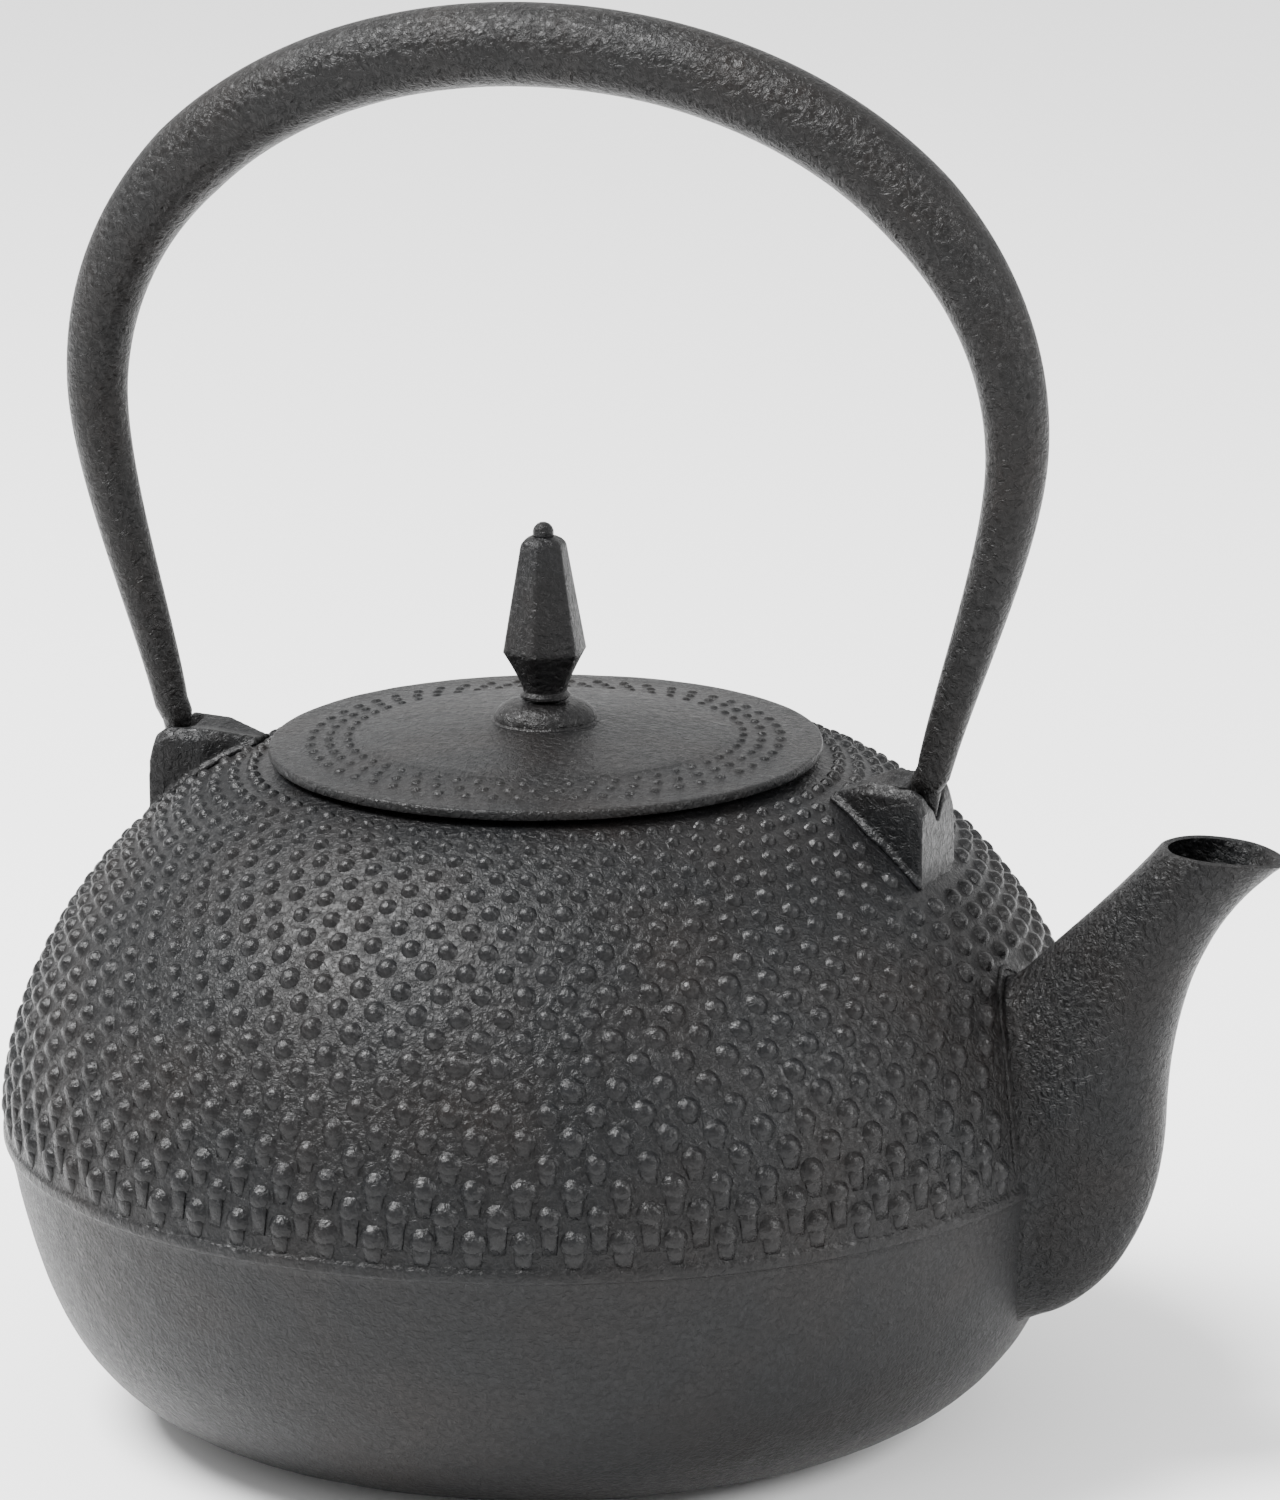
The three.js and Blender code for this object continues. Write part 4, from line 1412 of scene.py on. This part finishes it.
class TEAPOT_OT_stage(bpy.types.Operator):
    """Pale floor, soft light and camera"""

    bl_idname = "teapot.stage"
    bl_label = "Stage"

    def execute(self, context):
        s = settings().stage
        back = Vector(
            (
                math.sin(s.turn) * math.cos(s.elevation),
                -math.cos(s.turn) * math.cos(s.elevation),
                math.sin(s.elevation),
            )
        )
        right = Vector((math.cos(s.turn), math.sin(s.turn), 0))
        up = back.cross(right)
        target = right * s.aside + Vector((0, 0, s.target_height))
        level = right * math.cos(s.roll) + up * math.sin(s.roll)
        upright = up * math.cos(s.roll) - right * math.sin(s.roll)
        camera = bpy.data.objects.new("camera", bpy.data.cameras.new("camera"))
        camera.data.sensor_width = 36
        camera.data.lens = s.lens
        camera.data.clip_end = 50
        place = target + back * s.distance
        camera.matrix_world = Matrix(
            [[level[i], upright[i], back[i], place[i]] for i in range(3)] + [[0, 0, 0, 1]]
        )
        context.scene.collection.objects.link(camera)
        context.scene.camera = camera

        signs = ((-1, -1), (1, -1), (1, 1), (-1, 1))
        floor = new_object("floor", [(x * FLOOR_HALF, y * FLOOR_HALF, 0) for x, y in signs], [[0, 1, 2, 3]])
        paper = bpy.data.materials.new("floor_paper")
        paper.use_nodes = True
        shader = paper.node_tree.nodes["Principled BSDF"]
        shader.inputs["Base Color"].default_value = (*s.floor_colour, 1)
        shader.inputs["Roughness"].default_value = 0.9
        shader.inputs["Specular IOR Level"].default_value = 0.1
        floor.data.materials.append(paper)

        world = bpy.data.worlds.new("studio")
        world.use_nodes = True
        world.node_tree.nodes["Background"].inputs["Color"].default_value = (1, 1, 1, 1)
        world.node_tree.nodes["Background"].inputs["Strength"].default_value = 1.25
        context.scene.world = world

        def softbox(name, where, size, power, aim=(0, 0, 0.09)):
            lamp = bpy.data.lights.new(name, "AREA")
            lamp.shape = "RECTANGLE"
            lamp.size, lamp.size_y = size
            lamp.energy = power
            box = bpy.data.objects.new(name, lamp)
            box.location = where
            box.rotation_euler = (Vector(where) - Vector(aim)).to_track_quat("Z", "Y").to_euler()
            context.scene.collection.objects.link(box)

        softbox("key", tuple(-right * 0.75 + back * 0.1 + Vector((0, 0, 1.3))), (0.7, 0.7), 80)
        softbox("fill", tuple(right * 1.3 + back * 0.6 + Vector((0, 0, 0.75))), (0.5, 0.8), 30)
        return {"FINISHED"}


STEPS = ("pot", "spout", "lugs", "dome_studs", "lid", "knob", "handle", "stage")


class TEAPOT_PT_panel(bpy.types.Panel):
    """The teapot's settings and pieces"""

    bl_idname = "TEAPOT_PT_panel"
    bl_label = "Teapot"
    bl_space_type = "VIEW_3D"
    bl_region_type = "UI"
    bl_category = "Teapot"

    def draw(self, context):
        layout = self.layout
        for name in TeapotSettings.__annotations__:
            group = getattr(context.scene.teapot, name)
            box = layout.box()
            box.label(text=name.capitalize())
            for key in group.__annotations__:
                box.prop(group, key)
        for step in STEPS:
            layout.operator("teapot." + step)


CLASSES = (
    TeapotPot,
    TeapotStuds,
    TeapotSpout,
    TeapotLugs,
    TeapotHandle,
    TeapotLid,
    TeapotIron,
    TeapotStage,
    TeapotSettings,
    TEAPOT_OT_pot,
    TEAPOT_OT_spout,
    TEAPOT_OT_lugs,
    TEAPOT_OT_dome_studs,
    TEAPOT_OT_lid,
    TEAPOT_OT_knob,
    TEAPOT_OT_handle,
    TEAPOT_OT_stage,
    TEAPOT_PT_panel,
)


def register():
    """Adds the settings, operators and panel."""
    for item in CLASSES:
        bpy.utils.register_class(item)
    bpy.types.Scene.teapot = PointerProperty(type=TeapotSettings)


def unregister():
    """Takes them away again."""
    del bpy.types.Scene.teapot
    for item in reversed(CLASSES):
        bpy.utils.unregister_class(item)


def main():
    """Builds every piece and the stage."""
    register()
    bpy.ops.teapot.pot()
    bpy.ops.teapot.spout()
    bpy.ops.teapot.lugs()
    bpy.ops.teapot.dome_studs()
    bpy.ops.teapot.lid()
    bpy.ops.teapot.knob()
    bpy.ops.teapot.handle()
    bpy.ops.teapot.stage()


if __name__ == "__main__":
    main()
